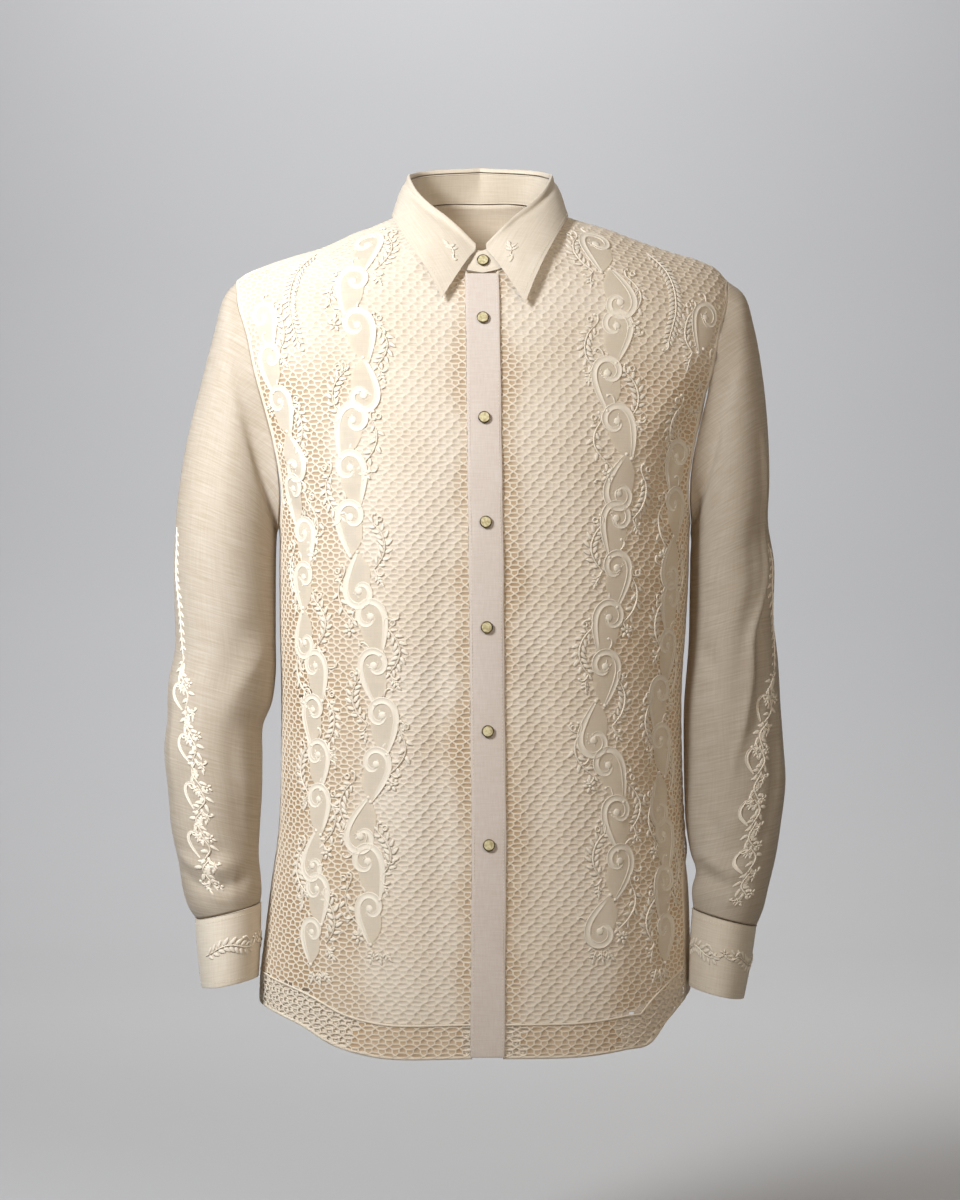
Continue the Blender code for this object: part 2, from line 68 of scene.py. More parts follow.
SEAM_GAP = 0.4
LAYER_STEP = 2.0
PLACKET_WIDTH = 30.4
UNDER_PLACKET_WIDTH = 27.0

# Body sections: their heights, the half width on the wearer's right and left, the depth before and behind
# the side line, and how far the middle leans aside
BODY = {
    "height": (
        30, 6, -58, -107, -144, -181, -223, -262, -285,
        -332, -380, -431, -488, -574, -618, -661, -714, -770,
    ),
    "right": (236, 236, 236, 231, 226, 213, 201, 193.5, 191, 191, 191, 190.5, 191, 195, 201, 206, 211, 208),
    "left": (236, 236, 238, 231, 226, 213, 200, 192, 189, 187, 184, 180, 178, 180, 185, 187, 188, 186),
    "front": (66, 70, 82, 97, 106, 113, 119, 122, 123, 123, 122, 120, 119, 119, 120, 122, 125, 128),
    "back": (70, 81, 104, 113, 117, 119, 120, 119, 118, 114, 112, 110, 110, 115, 118, 122, 127, 132),
    "middle": (-3.7, -3.7, -2.0, -1.0, -0.5, 0.0, 0.5, 1.0, 1.5, 2.0, 2.4, 2.9, 3.5, 4.4, 4.2, 3.8, 3.4, 3.0),
}
FLANK_SQUARENESS = 2.5
CHEST_SQUARENESS = 2.2

# Shoulder line: its height on the wearer's right and left at a reach from the neck's middle
SHOULDER = {
    "reach": (70, 82, 100, 114, 144, 180, 203, 220, 226, 236),
    "right": (4.0, -0.8, -8.5, -13.3, -26.8, -37.5, -45.5, -53.0, -57.2, -66.0),
    "left": (4.0, 0.2, -5.3, -9.3, -20.5, -33.0, -40.0, -49.5, -56.8, -66.0),
}
SHOULDER_DROP = 75.0
SHOULDER_BACK_DROP = 60.0
NECK_RISE = 60.0
FAR = 1e6

# Neck seam
NECK_HALF_WIDTH = 70.0
NECK_SIDE = 4.0
NECK_FRONT = -58.5
NECK_BACK = 21.5
NECK_FRONT_CURVE = 2.2
NECK_BACK_CURVE = 3.6

# Armhole seam: how far from the middle it runs, in front and behind, at each height
ARMHOLE = {
    "height": (-57, -83, -107, -144, -181, -223, -262, -285),
    "front": (226.5, 224, 216.5, 209, 199.5, 189.5, 186, 189),
    "back": (226.5, 225, 219, 213, 205, 194, 189, 189.5),
}
SHOULDER_TIP, ARMPIT = ARMHOLE["height"][0], ARMHOLE["height"][-1]

# Hem: a shirt tail, as heights on the wearer's right and left at turns from the middle of the front
HEM = {
    "turn": (0, 24, 37, 49, 56, 64, 90, 116, 140, 180),
    "right": (-763, -763, -754, -739, -734, -730, -725, -731, -752, -768),
    "left": (-763, -762, -758, -753, -738, -727, -714, -725, -750, -768),
}
HEM_MIDDLE = HEM["right"][0]
HEM_LOWEST = -768.0
SEAM_LEFT_LOW = 72.0
SEAM_LEFT_TOP = -560.0
SEAM_LEFT_BOTTOM = -620.0

# Sleeve sections, each by its outer and inner end and its middle and half depth front to back
SLEEVE_COLUMNS = ("outer", "outer_height", "inner", "inner_height", "middle", "depth")
SLEEVE_RIGHT = (
    (241, -72, 192.5, -291, 0, 50), (251, -108, 193.2, -298, 0, 56), (263, -155, 193.6, -306, 0, 60),
    (275.3, -205, 193.8, -317, 0, 63), (283, -252, 193.9, -334, -1, 64), (287.2, -305, 193.9, -360, -2, 63),
    (287, -354, 193.8, -391, -4, 61), (286.3, -400, 193.8, -425, -7, 59), (292, -430, 197, -449, -9, 58),
    (293, -465, 205.5, -472, -11, 57), (295.5, -490, 205.6, -497, -13, 56),
    (291.5, -533, 205.8, -532, -16, 54), (288.5, -565, 207.5, -562, -18, 52),
    (281, -600, 208.5, -592, -20, 50), (277, -624, 206.5, -612, -21, 48.5), (271, -640, 206, -626, -22, 47),
    (265.5, -647.5, 207, -633, -22, 45),
)
SLEEVE_LEFT = (
    (241, -70, 192.5, -291, 0, 50), (250.5, -100, 193.0, -297, 0, 56), (258.5, -145, 193.0, -304, 0, 60),
    (263.5, -196, 192.3, -315, 0, 62), (264.8, -242, 192.0, -331, -1, 62),
    (263.5, -282, 191.5, -354, -2, 61), (269, -320, 191, -379, -4, 60), (268.3, -372, 189.8, -404, -6, 59),
    (272, -408, 187.6, -428, -9, 58), (274.3, -450, 185.6, -455, -11, 57),
    (277, -490, 185.3, -492, -13, 56), (278.6, -522, 185.6, -527, -16, 55),
    (273.8, -560, 186.8, -561, -22, 53), (268, -592, 191, -588, -29, 50),
    (261.5, -617, 195.5, -604, -34, 48.5), (256, -638, 191.5, -621, -38, 47),
    (250, -652, 192.6, -637, -40, 45),
)
CUFF_RIGHT = ((266, -648.2, 206.5, -633.7, -22, 45.5), (260, -711, 208.8, -701.5, -24, 44))
CUFF_LEFT = ((249.5, -652.7, 192.0, -637.7, -40, 45.5), (237.5, -718.5, 188.3, -707.7, -46, 44))
CUFF_LAP = 30.0
CUFF_OPENING = 285.0
WALL = 1.5

# Collar: the fold where the fall turns over the stand, and the fall's lower edge, from front to back
COLLAR = {
    "fold": (4.5, 19, 31, 45, 57, 64.5, 62, 46, 0),
    "fold_depth": (-74, -70, -63, -51, -33, -4, 22, 44, 61),
    "fold_height": (-31, -15.6, -4, 8, 22, 38.5, 45, 50.5, 55),
    "edge": (36.5, 44.5, 56, 69.5, 80, 80.5, 75, 50, 0),
    "edge_depth": (-97, -93, -86, -66, -33, 2, 40, 73, 86),
    "edge_height": (-82, -64, -44.5, -22, -2.5, 3.5, 6, 10, 12),
}
NECK_SPREAD = 0.9
NECK_CENTRE_DEPTH = -5.0
STAND_OVER_SHARE = 0.053
STAND_UNDER_SHARE = 0.045
LAP_FROM = 0.27
LAP_EASE = 0.17
LAP_LIFT = 0.8
STAND_LIFT = 1.4
STAND_SEAM_DROP = 4.7
STAND_SLANT = 9.0
LEFT_POINT_DROP = 4.6
LEFT_POINT_REACH = 1.2
LEFT_POINT_SHARE = 0.4
FOLD_TURN = ((0.0, -3.7), (0.2, -1.6), (1.3, 0.0), (2.6, -1.4), (3.3, -5.0))
FALL_BULGE = 2.6
FALL_BULGE_HIGH = 0.75

BUTTON_DIAMETER = 11.0
BUTTON_THICKNESS = 2.6
BUTTON_CLEARANCE = 0.35
NECK_BUTTON_ACROSS = -1.0
NECK_BUTTON_HEIGHT = -46.9
BUTTON_HEIGHTS = (-100.7, -191.1, -284.5, -378.5, -471.6, -573.7)
CUFF_BUTTON_DIAMETER = 9.0


def smooth(xs, ys, at):
    """A smooth curve through the points (xs, ys), held at its end values beyond them."""
    xs, ys = np.asarray(xs, float), np.asarray(ys, float)
    if xs[0] > xs[-1]:
        xs, ys = xs[::-1], ys[::-1]
    chords = np.diff(ys) / np.diff(xs)
    spans = np.diff(xs)
    slopes = np.empty(len(xs))
    slopes[0], slopes[-1] = chords[0], chords[-1]
    slopes[1:-1] = (chords[:-1] * spans[1:] + chords[1:] * spans[:-1]) / (spans[1:] + spans[:-1])
    at = np.clip(at, xs[0], xs[-1])
    i = np.clip(np.searchsorted(xs, at) - 1, 0, len(xs) - 2)
    h = xs[i + 1] - xs[i]
    t = (at - xs[i]) / h
    return (
        (1 + 2 * t) * (1 - t) ** 2 * ys[i]
        + t * (1 - t) ** 2 * h * slopes[i]
        + t * t * (3 - 2 * t) * ys[i + 1]
        + t * t * (t - 1) * h * slopes[i + 1]
    )


def ease(t):
    """Goes smoothly from 0 to 1 as t does."""
    t = np.clip(t, 0.0, 1.0)
    return t * t * (3 - 2 * t)


def body(name, height):
    """One of the body's measures at a height."""
    return smooth(BODY["height"], BODY[name], height)


def shoulder_height(side, reach):
    """How high the shoulder line is; inside the neck it is carried on as a dome."""
    reach = np.abs(reach)
    right, left = (smooth(SHOULDER["reach"], SHOULDER[name], reach) for name in ("right", "left"))
    dome = NECK_SIDE + NECK_RISE * (1 - (reach / NECK_HALF_WIDTH) ** 2)
    return np.where(reach < NECK_HALF_WIDTH, dome, np.where(side < 0, right, left))


def shoulder_reach(side, height):
    """How far out the shoulder line is at a height; past its end, far beyond the flank."""
    end = SHOULDER["reach"][-1]
    reach = np.linspace(0, end, 2 * end + 1)
    right, left = (np.interp(-height, -shoulder_height(one, reach), reach) for one in (-1, 1))
    return np.where(height < SHOULDER["right"][-1], FAR, np.where(side < 0, right, left))


def flank_reach(side, height):
    """How far out the flank is at a height."""
    return np.where(side < 0, body("right", height), body("left", height))


def section_reach(side, height):
    """How far out the body goes at a height: to the shoulder line or the flank."""
    return np.minimum(flank_reach(side, height), shoulder_reach(side, height))


def turn_at(side, height, reach):
    """The turn, from 0 at the middle to 90 at the side line, at which a section has this reach."""
    share = np.clip(reach / section_reach(side, height), 0, 1)
    return np.degrees(np.arcsin(share ** (FLANK_SQUARENESS / 2)))


def body_point(side, turn, height):
    """A point of the body: turn 0 is the middle of the front, 90 the side line, 180 that of the back."""
    side, turn, height = np.broadcast_arrays(*(np.asarray(a, float) for a in (side, turn, height)))
    behind = turn > 90
    quarter = np.radians(np.where(behind, 180 - turn, turn))
    reach = section_reach(side, height) * np.abs(np.sin(quarter)) ** (2 / FLANK_SQUARENESS)
    share = reach / flank_reach(side, height)
    ring = np.maximum(1 - share**FLANK_SQUARENESS, 0) ** (1 / CHEST_SQUARENESS)
    drop = np.where(behind, SHOULDER_BACK_DROP, SHOULDER_DROP)
    under = np.clip((shoulder_height(side, reach) - height) / drop, 0, 1)
    arch = np.sqrt(1 - (1 - under) ** 2)
    depth = np.where(behind, body("back", height), -body("front", height))
    x = body("middle", height) + np.sign(side) * reach
    return np.stack([x, depth * ring * arch, height], axis=-1)


def hem_height(side, turn):
    """The hem's height round the body."""
    right, left = (smooth(HEM["turn"], HEM[name], turn) for name in ("right", "left"))
    return np.where(side < 0, right, left)


def neck_reach(height, behind):
    """How far from the middle the neck seam is at a height."""
    if behind:
        share = (NECK_BACK - height) / (NECK_BACK - NECK_SIDE)
        return NECK_HALF_WIDTH * np.clip(share, 0, 1) ** (1 / NECK_BACK_CURVE)
    share = (height - NECK_FRONT) / (NECK_SIDE - NECK_FRONT)
    return NECK_HALF_WIDTH * np.clip(share, 0, 1) ** (1 / NECK_FRONT_CURVE)


def armhole_turn(side, height, behind):
    """The turn of the armhole seam at a height."""
    reach = smooth(ARMHOLE["height"], ARMHOLE["back" if behind else "front"], height)
    turn = float(turn_at(side, height, reach))
    return 180 - turn if behind else turn


def side_seam_turn(side, height):
    """The side seam keeps to the side line; low on the wearer's left it swings forward."""
    if side < 0:
        return 90.0
    share = ease((SEAM_LEFT_TOP - height) / (SEAM_LEFT_TOP - SEAM_LEFT_BOTTOM))
    return float(90.0 + (SEAM_LEFT_LOW - 90.0) * share)


def outer_turn(side, height, behind):
    """Where a front or back ends at a height: the shoulder, the armhole or the side seam."""
    if height > SHOULDER_TIP:
        return 90.0
    if height < ARMPIT:
        return side_seam_turn(side, height)
    return armhole_turn(side, height, behind)


def armhole_ring(side, angles):
    """The armhole seam as a ring: from the tip of the shoulder down the front and up the back."""
    ring = []
    for angle in angles:
        height = (SHOULDER_TIP + ARMPIT) / 2 + (SHOULDER_TIP - ARMPIT) / 2 * math.cos(angle)
        ring.append(body_point(side, armhole_turn(side, height, math.sin(angle) < 0), height))
    return np.array(ring)


def arm_axes(side, row):
    """The centre of an arm's section, its half towards the outer end and its half towards the front."""
    section = dict(zip(SLEEVE_COLUMNS, row))
    outer = np.array([side * section["outer"], section["middle"], section["outer_height"]])
    inner = np.array([side * section["inner"], section["middle"], section["inner_height"]])
    return (outer + inner) / 2, (outer - inner) / 2, np.array([0.0, -section["depth"], 0.0])


def sleeve_ring(side, row, angles):
    """A sleeve's section as a ring: angle 0 is its outer end, a quarter turn its front."""
    centre, outward, forward = arm_axes(side, row)
    return centre + np.cos(angles)[:, None] * outward + np.sin(angles)[:, None] * forward


def neck_seam(side, share):
    """The neck seam from the middle of the front, share 0, by the shoulder to that of the back, 1."""
    reach = NECK_HALF_WIDTH * math.sin(share * math.pi) ** NECK_SPREAD
    behind = share > 0.5
    away = reach / NECK_HALF_WIDTH
    if behind:
        height = NECK_BACK - (NECK_BACK - NECK_SIDE) * away**NECK_BACK_CURVE
    else:
        height = NECK_FRONT + (NECK_SIDE - NECK_FRONT) * away**NECK_FRONT_CURVE
    turn = float(turn_at(side, height, reach))
    return body_point(side, 180 - turn if behind else turn, height)


def collar_lines(side, share):
    """The fold and the fall's edge at a share of the way from front to back."""
    stations = np.linspace(0, 1, len(COLLAR["fold"]))
    at = {name: float(smooth(stations, values, share)) for name, values in COLLAR.items()}
    if side > 0:
        point = float(ease(1 - share / LEFT_POINT_SHARE))
        at["edge"] += LEFT_POINT_REACH * point
        at["edge_height"] -= LEFT_POINT_DROP * point
    lines = []
    for name in ("fold", "edge"):
        height = at[name + "_height"]
        lines.append(np.array([float(body("middle", height)) + side * at[name], at[name + "_depth"], height]))
    return lines


def away_from_neck(point):
    """Level unit vector out of the neck at a point."""
    out = np.array([point[0] - float(body("middle", 6.0)), point[1] - NECK_CENTRE_DEPTH, 0.0])
    return out / np.linalg.norm(out)


def stand_out_at(share):
    """How far the collar's left half stands out, so that its end laps over the right."""
    return LAYER_STEP * float(ease((LAP_FROM - share) / LAP_EASE))


# ---- Laying flat cloth on a form ----


def run_of(points):
    """How far along a line each of its points is."""
    return np.concatenate([[0], np.cumsum(np.linalg.norm(np.diff(points, axis=0), axis=1))])


def asides(path, closed=False):
    """Unit vectors to the left of each point of a flat path."""
    ways = np.roll(path, -1, axis=0) - np.roll(path, 1, axis=0) if closed else np.gradient(path, axis=0)
    ways /= np.maximum(np.linalg.norm(ways, axis=1), TINY)[:, None]
    return np.stack([-ways[:, 1], ways[:, 0]], axis=-1)


def spaced(points, step):
    """Points evenly spaced along a smooth line through the given ones."""
    points = np.asarray(points, float)
    knots = run_of(points)
    fine = np.linspace(0, knots[-1], max(int(knots[-1] / step) * 4, 8))
    line = np.stack([smooth(knots, values, fine) for values in points.T], axis=-1)
    run = run_of(line)
    even = np.linspace(0, run[-1], max(int(round(run[-1] / step)), 2) + 1)
    return np.stack([np.interp(even, run, values) for values in line.T], axis=-1)


def more_rings(rings, count):
    """Rings smoothly filled in between the given ones."""
    rings = np.asarray(rings, float)
    gaps = np.linalg.norm(np.diff(rings, axis=0), axis=2).mean(axis=1)
    knots = np.concatenate([[0], np.cumsum(gaps)])
    at = np.linspace(0, knots[-1], count)
    columns = rings.reshape(len(rings), -1).T
    return np.stack([smooth(knots, values, at) for values in columns], axis=-1).reshape(count, -1, 3)


class Lay:
    """A form unrolled from its middle station. Flat places (across, up, off) are laid back on it.

    rings are the form's points at its levels and stations. base is the level from which heights are
    measured, and reach how far the flat cloth goes each way. All lengths are in millimetres.
    """

    def __init__(self, levels, stations, rings, base, reach, step=2.5):
        self.levels, self.stations = np.asarray(levels, float), np.asarray(stations, float)
        self.step = step
        start = len(self.stations) // 2
        hops = np.linalg.norm(np.diff(rings, axis=1), axis=2)
        arcs = np.hstack([np.zeros((len(rings), 1)), np.cumsum(hops, axis=1)])
        self.arcs = arcs - arcs[:, start : start + 1]
        self.across = np.arange(-reach, reach + step, step)
        lines = np.stack(
            [
                [np.interp(self.across, arc, ring[:, axis]) for arc, ring in zip(self.arcs, rings)]
                for axis in range(3)
            ],
            axis=-1,
        )
        climbs = np.linalg.norm(np.diff(lines, axis=0), axis=2)
        runs = np.vstack([np.zeros((1, len(self.across))), np.cumsum(climbs, axis=0)])
        self.runs = runs - runs[base]
        self.ups = np.arange(self.runs.min(), self.runs.max() + step, step)
        columns = range(len(self.across))
        self.points = np.stack(
            [
                [np.interp(self.ups, self.runs[:, j], lines[:, j, axis]) for j in columns]
                for axis in range(3)
            ],
            axis=-1,
        ).swapaxes(0, 1)
        self.face_out()

    def face_out(self):
        """Works out which way is out of the cloth at each point of the grid."""
        out = np.cross(np.gradient(self.points, axis=1), np.gradient(self.points, axis=0))
        self.normals = out / np.maximum(np.linalg.norm(out, axis=2), TINY)[..., None]

    def cell(self, flat):
        """The grid cells of flat places, and the shares across and up them."""
        j = np.clip((flat[:, 0] - self.across[0]) / self.step, 0, len(self.across) - 1.001)
        i = np.clip((flat[:, 1] - self.ups[0]) / self.step, 0, len(self.ups) - 1.001)
        return i.astype(int), j.astype(int), (i % 1)[:, None], (j % 1)[:, None]

    def blend(self, values, flat):
        """The grid's values at flat places, blended between its points."""
        i, j, up, across = self.cell(flat)
        low = values[i, j] * (1 - across) + values[i, j + 1] * across
        high = values[i + 1, j] * (1 - across) + values[i + 1, j + 1] * across
        return low * (1 - up) + high * up

    def out(self, flat):
        """The way out of the cloth at flat places."""
        out = self.blend(self.normals, np.atleast_2d(np.asarray(flat, float)))
        return out / np.maximum(np.linalg.norm(out, axis=1), TINY)[:, None]

    def at(self, flat):
        """The points of flat places."""
        flat = np.atleast_2d(np.asarray(flat, float))
        return self.blend(self.points, flat) + self.out(flat) * flat[:, 2:3]

    def nearest(self, point):
        """The row and column of the grid's nearest point to a point."""
        gaps = ((self.points - point) ** 2).sum(axis=-1)
        return np.unravel_index(int(np.argmin(gaps)), gaps.shape)

    def flat(self, level, station):
        """The flat places of levels and stations of the form."""
        level, station = np.broadcast_arrays(*(np.atleast_1d(np.asarray(a, float)) for a in (level, station)))
        rows = np.interp(level, self.levels, np.arange(len(self.levels)))
        row = np.minimum(rows.astype(int), len(self.levels) - 2)
        columns = np.interp(station, self.stations, np.arange(len(self.stations)))
        left = np.minimum(columns.astype(int), len(self.stations) - 2)
        up, along = rows - row, columns - left
        arcs = [self.arcs[k, left] * (1 - along) + self.arcs[k, left + 1] * along for k in (row, row + 1)]
        across = arcs[0] * (1 - up) + arcs[1] * up
        place = np.clip((across - self.across[0]) / self.step, 0, len(self.across) - 1.001)
        j, share = place.astype(int), place % 1
        runs = [self.runs[k, j] * (1 - share) + self.runs[k, j + 1] * share for k in (row, row + 1)]
        return np.stack([across, runs[0] * (1 - up) + runs[1] * up, np.zeros(len(across))], axis=-1)

    def line(self, level, ends, count):
        """A flat path of places along one level, from the station -ends to ends."""
        return self.flat(level, np.linspace(-ends, ends, count))[:, :2]

    def crease(self, line, width, height):
        """Raises the cloth, or sinks it, along a line, less and less towards both ends."""
        line = spaced(np.asarray(line, float)[:, :2], 5.0)
        low, high = line.min(axis=0) - 3 * width, line.max(axis=0) + 3 * width
        js = np.flatnonzero((self.across >= low[0]) & (self.across <= high[0]))
        rows = np.flatnonzero((self.ups >= low[1]) & (self.ups <= high[1]))
        if not len(js) or not len(rows):
            return
        window = np.ix_(rows, js)
        places = np.stack(np.meshgrid(self.across[js], self.ups[rows]), axis=-1)
        nearest = np.full(places.shape[:2], np.inf)
        share = np.zeros(places.shape[:2])
        for index, point in enumerate(line):
            away = ((places - point) ** 2).sum(axis=-1)
            closer = away < nearest
            nearest[closer], share[closer] = away[closer], index / (len(line) - 1)
        rise = height * np.exp(-nearest / width**2) * np.sin(math.pi * share.clip(0.02, 0.98)) ** 0.7
        self.points[window] += self.normals[window] * rise[..., None]


# How far each way the flat cloth of each form is worked out, with room past its edges
BODY_REACH, SLEEVE_REACH, CUFF_REACH, STAND_REACH, FALL_REACH = 330.0, 300.0, 190.0, 284.0, 292.0


@cache
def body_lay(behind):
    """The front, or the back, unrolled from its middle. Across grows to the left of whoever faces it."""
    levels = np.concatenate([np.arange(-800, -72, 3.0), np.arange(-72, 24.1, 0.75)])
    stations = np.linspace(-125, 125, 251)
    side = np.where(stations < 0, -1, 1) * (-1 if behind else 1)
    turns = 180 - np.abs(stations) if behind else np.abs(stations)
    rings = body_point(side[None, :], turns[None, :], levels[:, None])
    base = int(np.argmin(np.abs(levels + CHEST_LEVEL)))
    lay = Lay(levels, stations, rings, base, BODY_REACH)
    lay.behind = behind
    for line, width, height in BACK_CREASES if behind else FRONT_CREASES:
        lay.crease([body_spot(lay, x, z) for x, z in line], width, height)
    lay.face_out()
    return lay


def body_spot(lay, x, height):
    """The flat place on the front or the back that lies x to the wearer's left of its middle."""
    side = -1 if x < 0 else 1
    turn = float(turn_at(side, height, abs(x)))
    return lay.flat(height, (-side if lay.behind else side) * turn)[0]


def front_spots(places):
    """Flat places on the front, each without its height above the cloth."""
    return [body_spot(body_lay(False), x, height)[:2] for x, height in places]


# The level from which the front and the back are unrolled, down from the neck
CHEST_LEVEL = 262
# Creases of the body: a line of places (to the wearer's left of the middle, height), its width, its rise
FRONT_CREASES = (
    (((-21, -95), (-20, -400), (-21, -740)), 5.0, -0.9),
    (((21, -95), (20, -400), (21, -740)), 5.0, -0.9),
    (((-58, -120), (-80, -300), (-70, -520), (-92, -700)), 26.0, 2.2),
    (((-28, -250), (-44, -450), (-40, -700)), 14.0, -2.6),
    (((-112, -420), (-108, -560), (-128, -735)), 13.0, -2.4),
    (((-150, -560), (-146, -650), (-158, -735)), 14.0, 2.2),
    (((-186, -250), (-160, -285), (-128, -300)), 9.0, -2.0),
    (((-190, -215), (-165, -235), (-140, -240)), 8.0, 1.5),
    (((206, -110), (168, -170), (120, -240)), 15.0, 3.0),
    (((215, -150), (176, -212), (150, -300)), 13.0, -3.4),
    (((188, -240), (160, -275), (132, -290)), 9.0, -1.8),
    (((60, -130), (92, -300), (84, -520), (98, -700)), 24.0, 2.0),
    (((34, -260), (46, -450), (42, -690)), 13.0, -2.0),
    (((150, -400), (156, -560), (166, -700)), 12.0, -2.6),
    (((178, -440), (182, -600), (184, -715)), 11.0, 2.6),
    (((120, -480), (112, -600), (122, -735)), 14.0, 1.8),
    (((-70, -660), (-64, -715), (-66, -765)), 12.0, 1.4),
    (((66, -660), (62, -715), (60, -765)), 12.0, -1.3),
)
BACK_CREASES = (
    (((-150, -150), (-120, -330), (-128, -560)), 17.0, -3.0),
    (((150, -150), (122, -330), (130, -560)), 17.0, -3.0),
    (((-60, -210), (-52, -430), (-74, -700)), 20.0, 3.0),
    (((62, -200), (50, -450), (70, -720)), 20.0, 3.0),
    (((0, -260), (6, -480), (-4, -740)), 18.0, -2.6),
    (((-172, -290), (-120, -330), (-60, -350)), 11.0, -2.4),
    (((172, -285), (124, -322), (66, -352)), 11.0, -2.4),
    (((-104, -560), (-110, -660), (-120, -745)), 14.0, 2.4),
    (((108, -560), (112, -660), (118, -745)), 14.0, 2.2),
    (((-178, -500), (-170, -600), (-174, -700)), 11.0, -2.2),
)

SLEEVES = {-1: SLEEVE_RIGHT, 1: SLEEVE_LEFT}
CUFFS = {-1: CUFF_RIGHT, 1: CUFF_LEFT}
WORN_ON = {-1: "right", 1: "left"}
# Creases of the sleeves: a line of (height, share of the way in from the outer edge), its width, its rise.
SLEEVE_CREASES = {
    -1: (
        (((-90, 0.30), (-200, 0.34), (-320, 0.5)), 12.0, -1.4),
        (((-330, 0.88), (-380, 0.66), (-440, 0.50)), 12.0, -1.8),
        (((-350, 0.96), (-410, 0.74), (-470, 0.62)), 9.0, 1.6),
        (((-430, 0.30), (-520, 0.42), (-590, 0.56)), 11.0, 1.8),
        (((-450, 0.70), (-530, 0.76), (-590, 0.80)), 9.0, -1.6),
        (((-420, 0.08), (-480, 0.10), (-540, 0.09)), 7.0, 1.8),
        (((-588, 0.06), (-598, 0.25), (-603, 0.5), (-597, 0.8)), 6.5, 3.4),
        (((-606, 0.10), (-619, 0.30), (-622, 0.55), (-614, 0.9)), 5.5, -3.0),
        (((-580, 0.62), (-594, 0.46), (-616, 0.30)), 4.5, -2.0),
        (((-612, 0.36), (-630, 0.44), (-640, 0.52)), 4.0, 1.8),
        (((-608, 0.74), (-628, 0.68), (-640, 0.66)), 4.0, 1.6),
    ),
    1: (
        (((-150, 0.06), (-215, 0.10), (-290, 0.07)), 6.0, 2.0),
        (
            (
                (-170, 0.13), (-225, 0.11), (-257, 0.10), (-302, 0.11), (-340, 0.16), (-377, 0.29),
                (-433, 0.35), (-465, 0.42), (-495, 0.52), (-525, 0.60),
            ),
            4.0,
            4.8,
        ),
        (((-215, 0.06), (-280, 0.05), (-335, 0.08), (-375, 0.18), (-430, 0.24), (-500, 0.36)), 8.0, -5.4),
        (((-260, 0.24), (-330, 0.30), (-400, 0.46), (-470, 0.58)), 9.0, -2.0),
        (((-420, 0.05), (-490, 0.07), (-560, 0.08)), 5.0, 2.4),
        (((-440, 0.13), (-510, 0.15), (-590, 0.24)), 5.5, -2.4),
        (((-540, 0.84), (-575, 0.66), (-610, 0.56)), 7.0, -2.2),
        (((-585, 0.92), (-600, 0.74), (-604, 0.52), (-598, 0.3)), 6.0, 2.8),
        (((-612, 0.92), (-621, 0.70), (-622, 0.50), (-616, 0.24)), 5.5, -2.6),
        (((-610, 0.60), (-630, 0.52), (-642, 0.50)), 4.0, 1.6),
        (((-350, 0.90), (-400, 0.72), (-450, 0.62)), 8.0, -1.6),
    ),
}
# How many rings a sleeve's lay has, and how far round it goes each way, past its inner line
SLEEVE_RINGS = 190
SLEEVE_PAST = 204
CUFF_RINGS, CUFF_STATIONS = 41, 157
# The collar's shares of the way from front to back on each side, and the rings of its stand and its fall
COLLAR_SHARES = 61
STAND_RINGS, FALL_RINGS = 9, 61


@cache
def sleeve_lay(side):
    """A sleeve unrolled from its outer edge."""
    stations = np.linspace(-SLEEVE_PAST, SLEEVE_PAST, 2 * SLEEVE_PAST // 4 + 1)
    angles = np.radians(-side * stations)
    rows = SLEEVES[side]
    seam = armhole_ring(side, angles)
    step = sleeve_ring(side, rows[0], angles) - seam
    step /= np.linalg.norm(step, axis=1)[:, None]
    low = ease((-np.cos(angles) - 0.2) / 0.8)
    clear = 0.8 * step + np.outer(low, [side * (WALL + 0.8), 0, -0.4]) + [side * 0.5, 0, 0]
    rings = more_rings([seam + clear] + [sleeve_ring(side, row, angles) for row in rows], SLEEVE_RINGS)
    levels = -np.linspace(1, 0, SLEEVE_RINGS)
    lay = Lay(levels, stations, rings[::-1], SLEEVE_RINGS // 2, SLEEVE_REACH)
    lay.heights = rings[::-1, len(stations) // 2, 2]
    for line, width, height in SLEEVE_CREASES[side]:
        lay.crease([sleeve_spot(lay, side, z, share) for z, share in line], width, height)
        behind = [sleeve_spot(lay, side, z + 14, share, True) for z, share in line]
        lay.crease(behind, width, height * 0.8)
    lay.face_out()
    return lay


def sleeve_spot(lay, side, height, share, behind=False):
    """The flat place on a sleeve at a height, a share of the way in from its outer edge."""
    level = np.interp(height, lay.heights, lay.levels)
    turned = math.degrees(math.acos(1 - 2 * share)) * (-1 if behind else 1)
    return lay.flat(level, -side * turned)[0]


def lapped(start, lap, count):
    """Angles once round and on over the start, each with how far the strip stands out there."""
    angles = np.linspace(start, start + 360 + lap, count)
    return [(angle, LAYER_STEP * float(ease((angle - start - 330 + lap) / 30))) for angle in angles]


@cache
def cuff_lay(side):
    """A cuff unrolled from the middle of its strip."""
    top, bottom = (np.array(row, float) for row in CUFFS[side])
    rings = []
    for share in np.linspace(1, 0, CUFF_RINGS):
        centre, outward, forward = arm_axes(side, top * (1 - share) + bottom * share)
        ring = []
        for angle, out in lapped(CUFF_OPENING, CUFF_LAP, CUFF_STATIONS):
            arm = math.cos(math.radians(angle)) * outward + math.sin(math.radians(angle)) * forward
            swell = out + 0.8 * math.sin(math.pi * share)
            ring.append(centre + arm * (1 + swell / np.linalg.norm(arm)))
        rings.append(ring[::-side])
    levels, stations = np.linspace(0, 1, CUFF_RINGS), np.linspace(-1, 1, CUFF_STATIONS)
    return Lay(levels, stations, np.array(rings), CUFF_RINGS // 2, CUFF_REACH, 1.5)


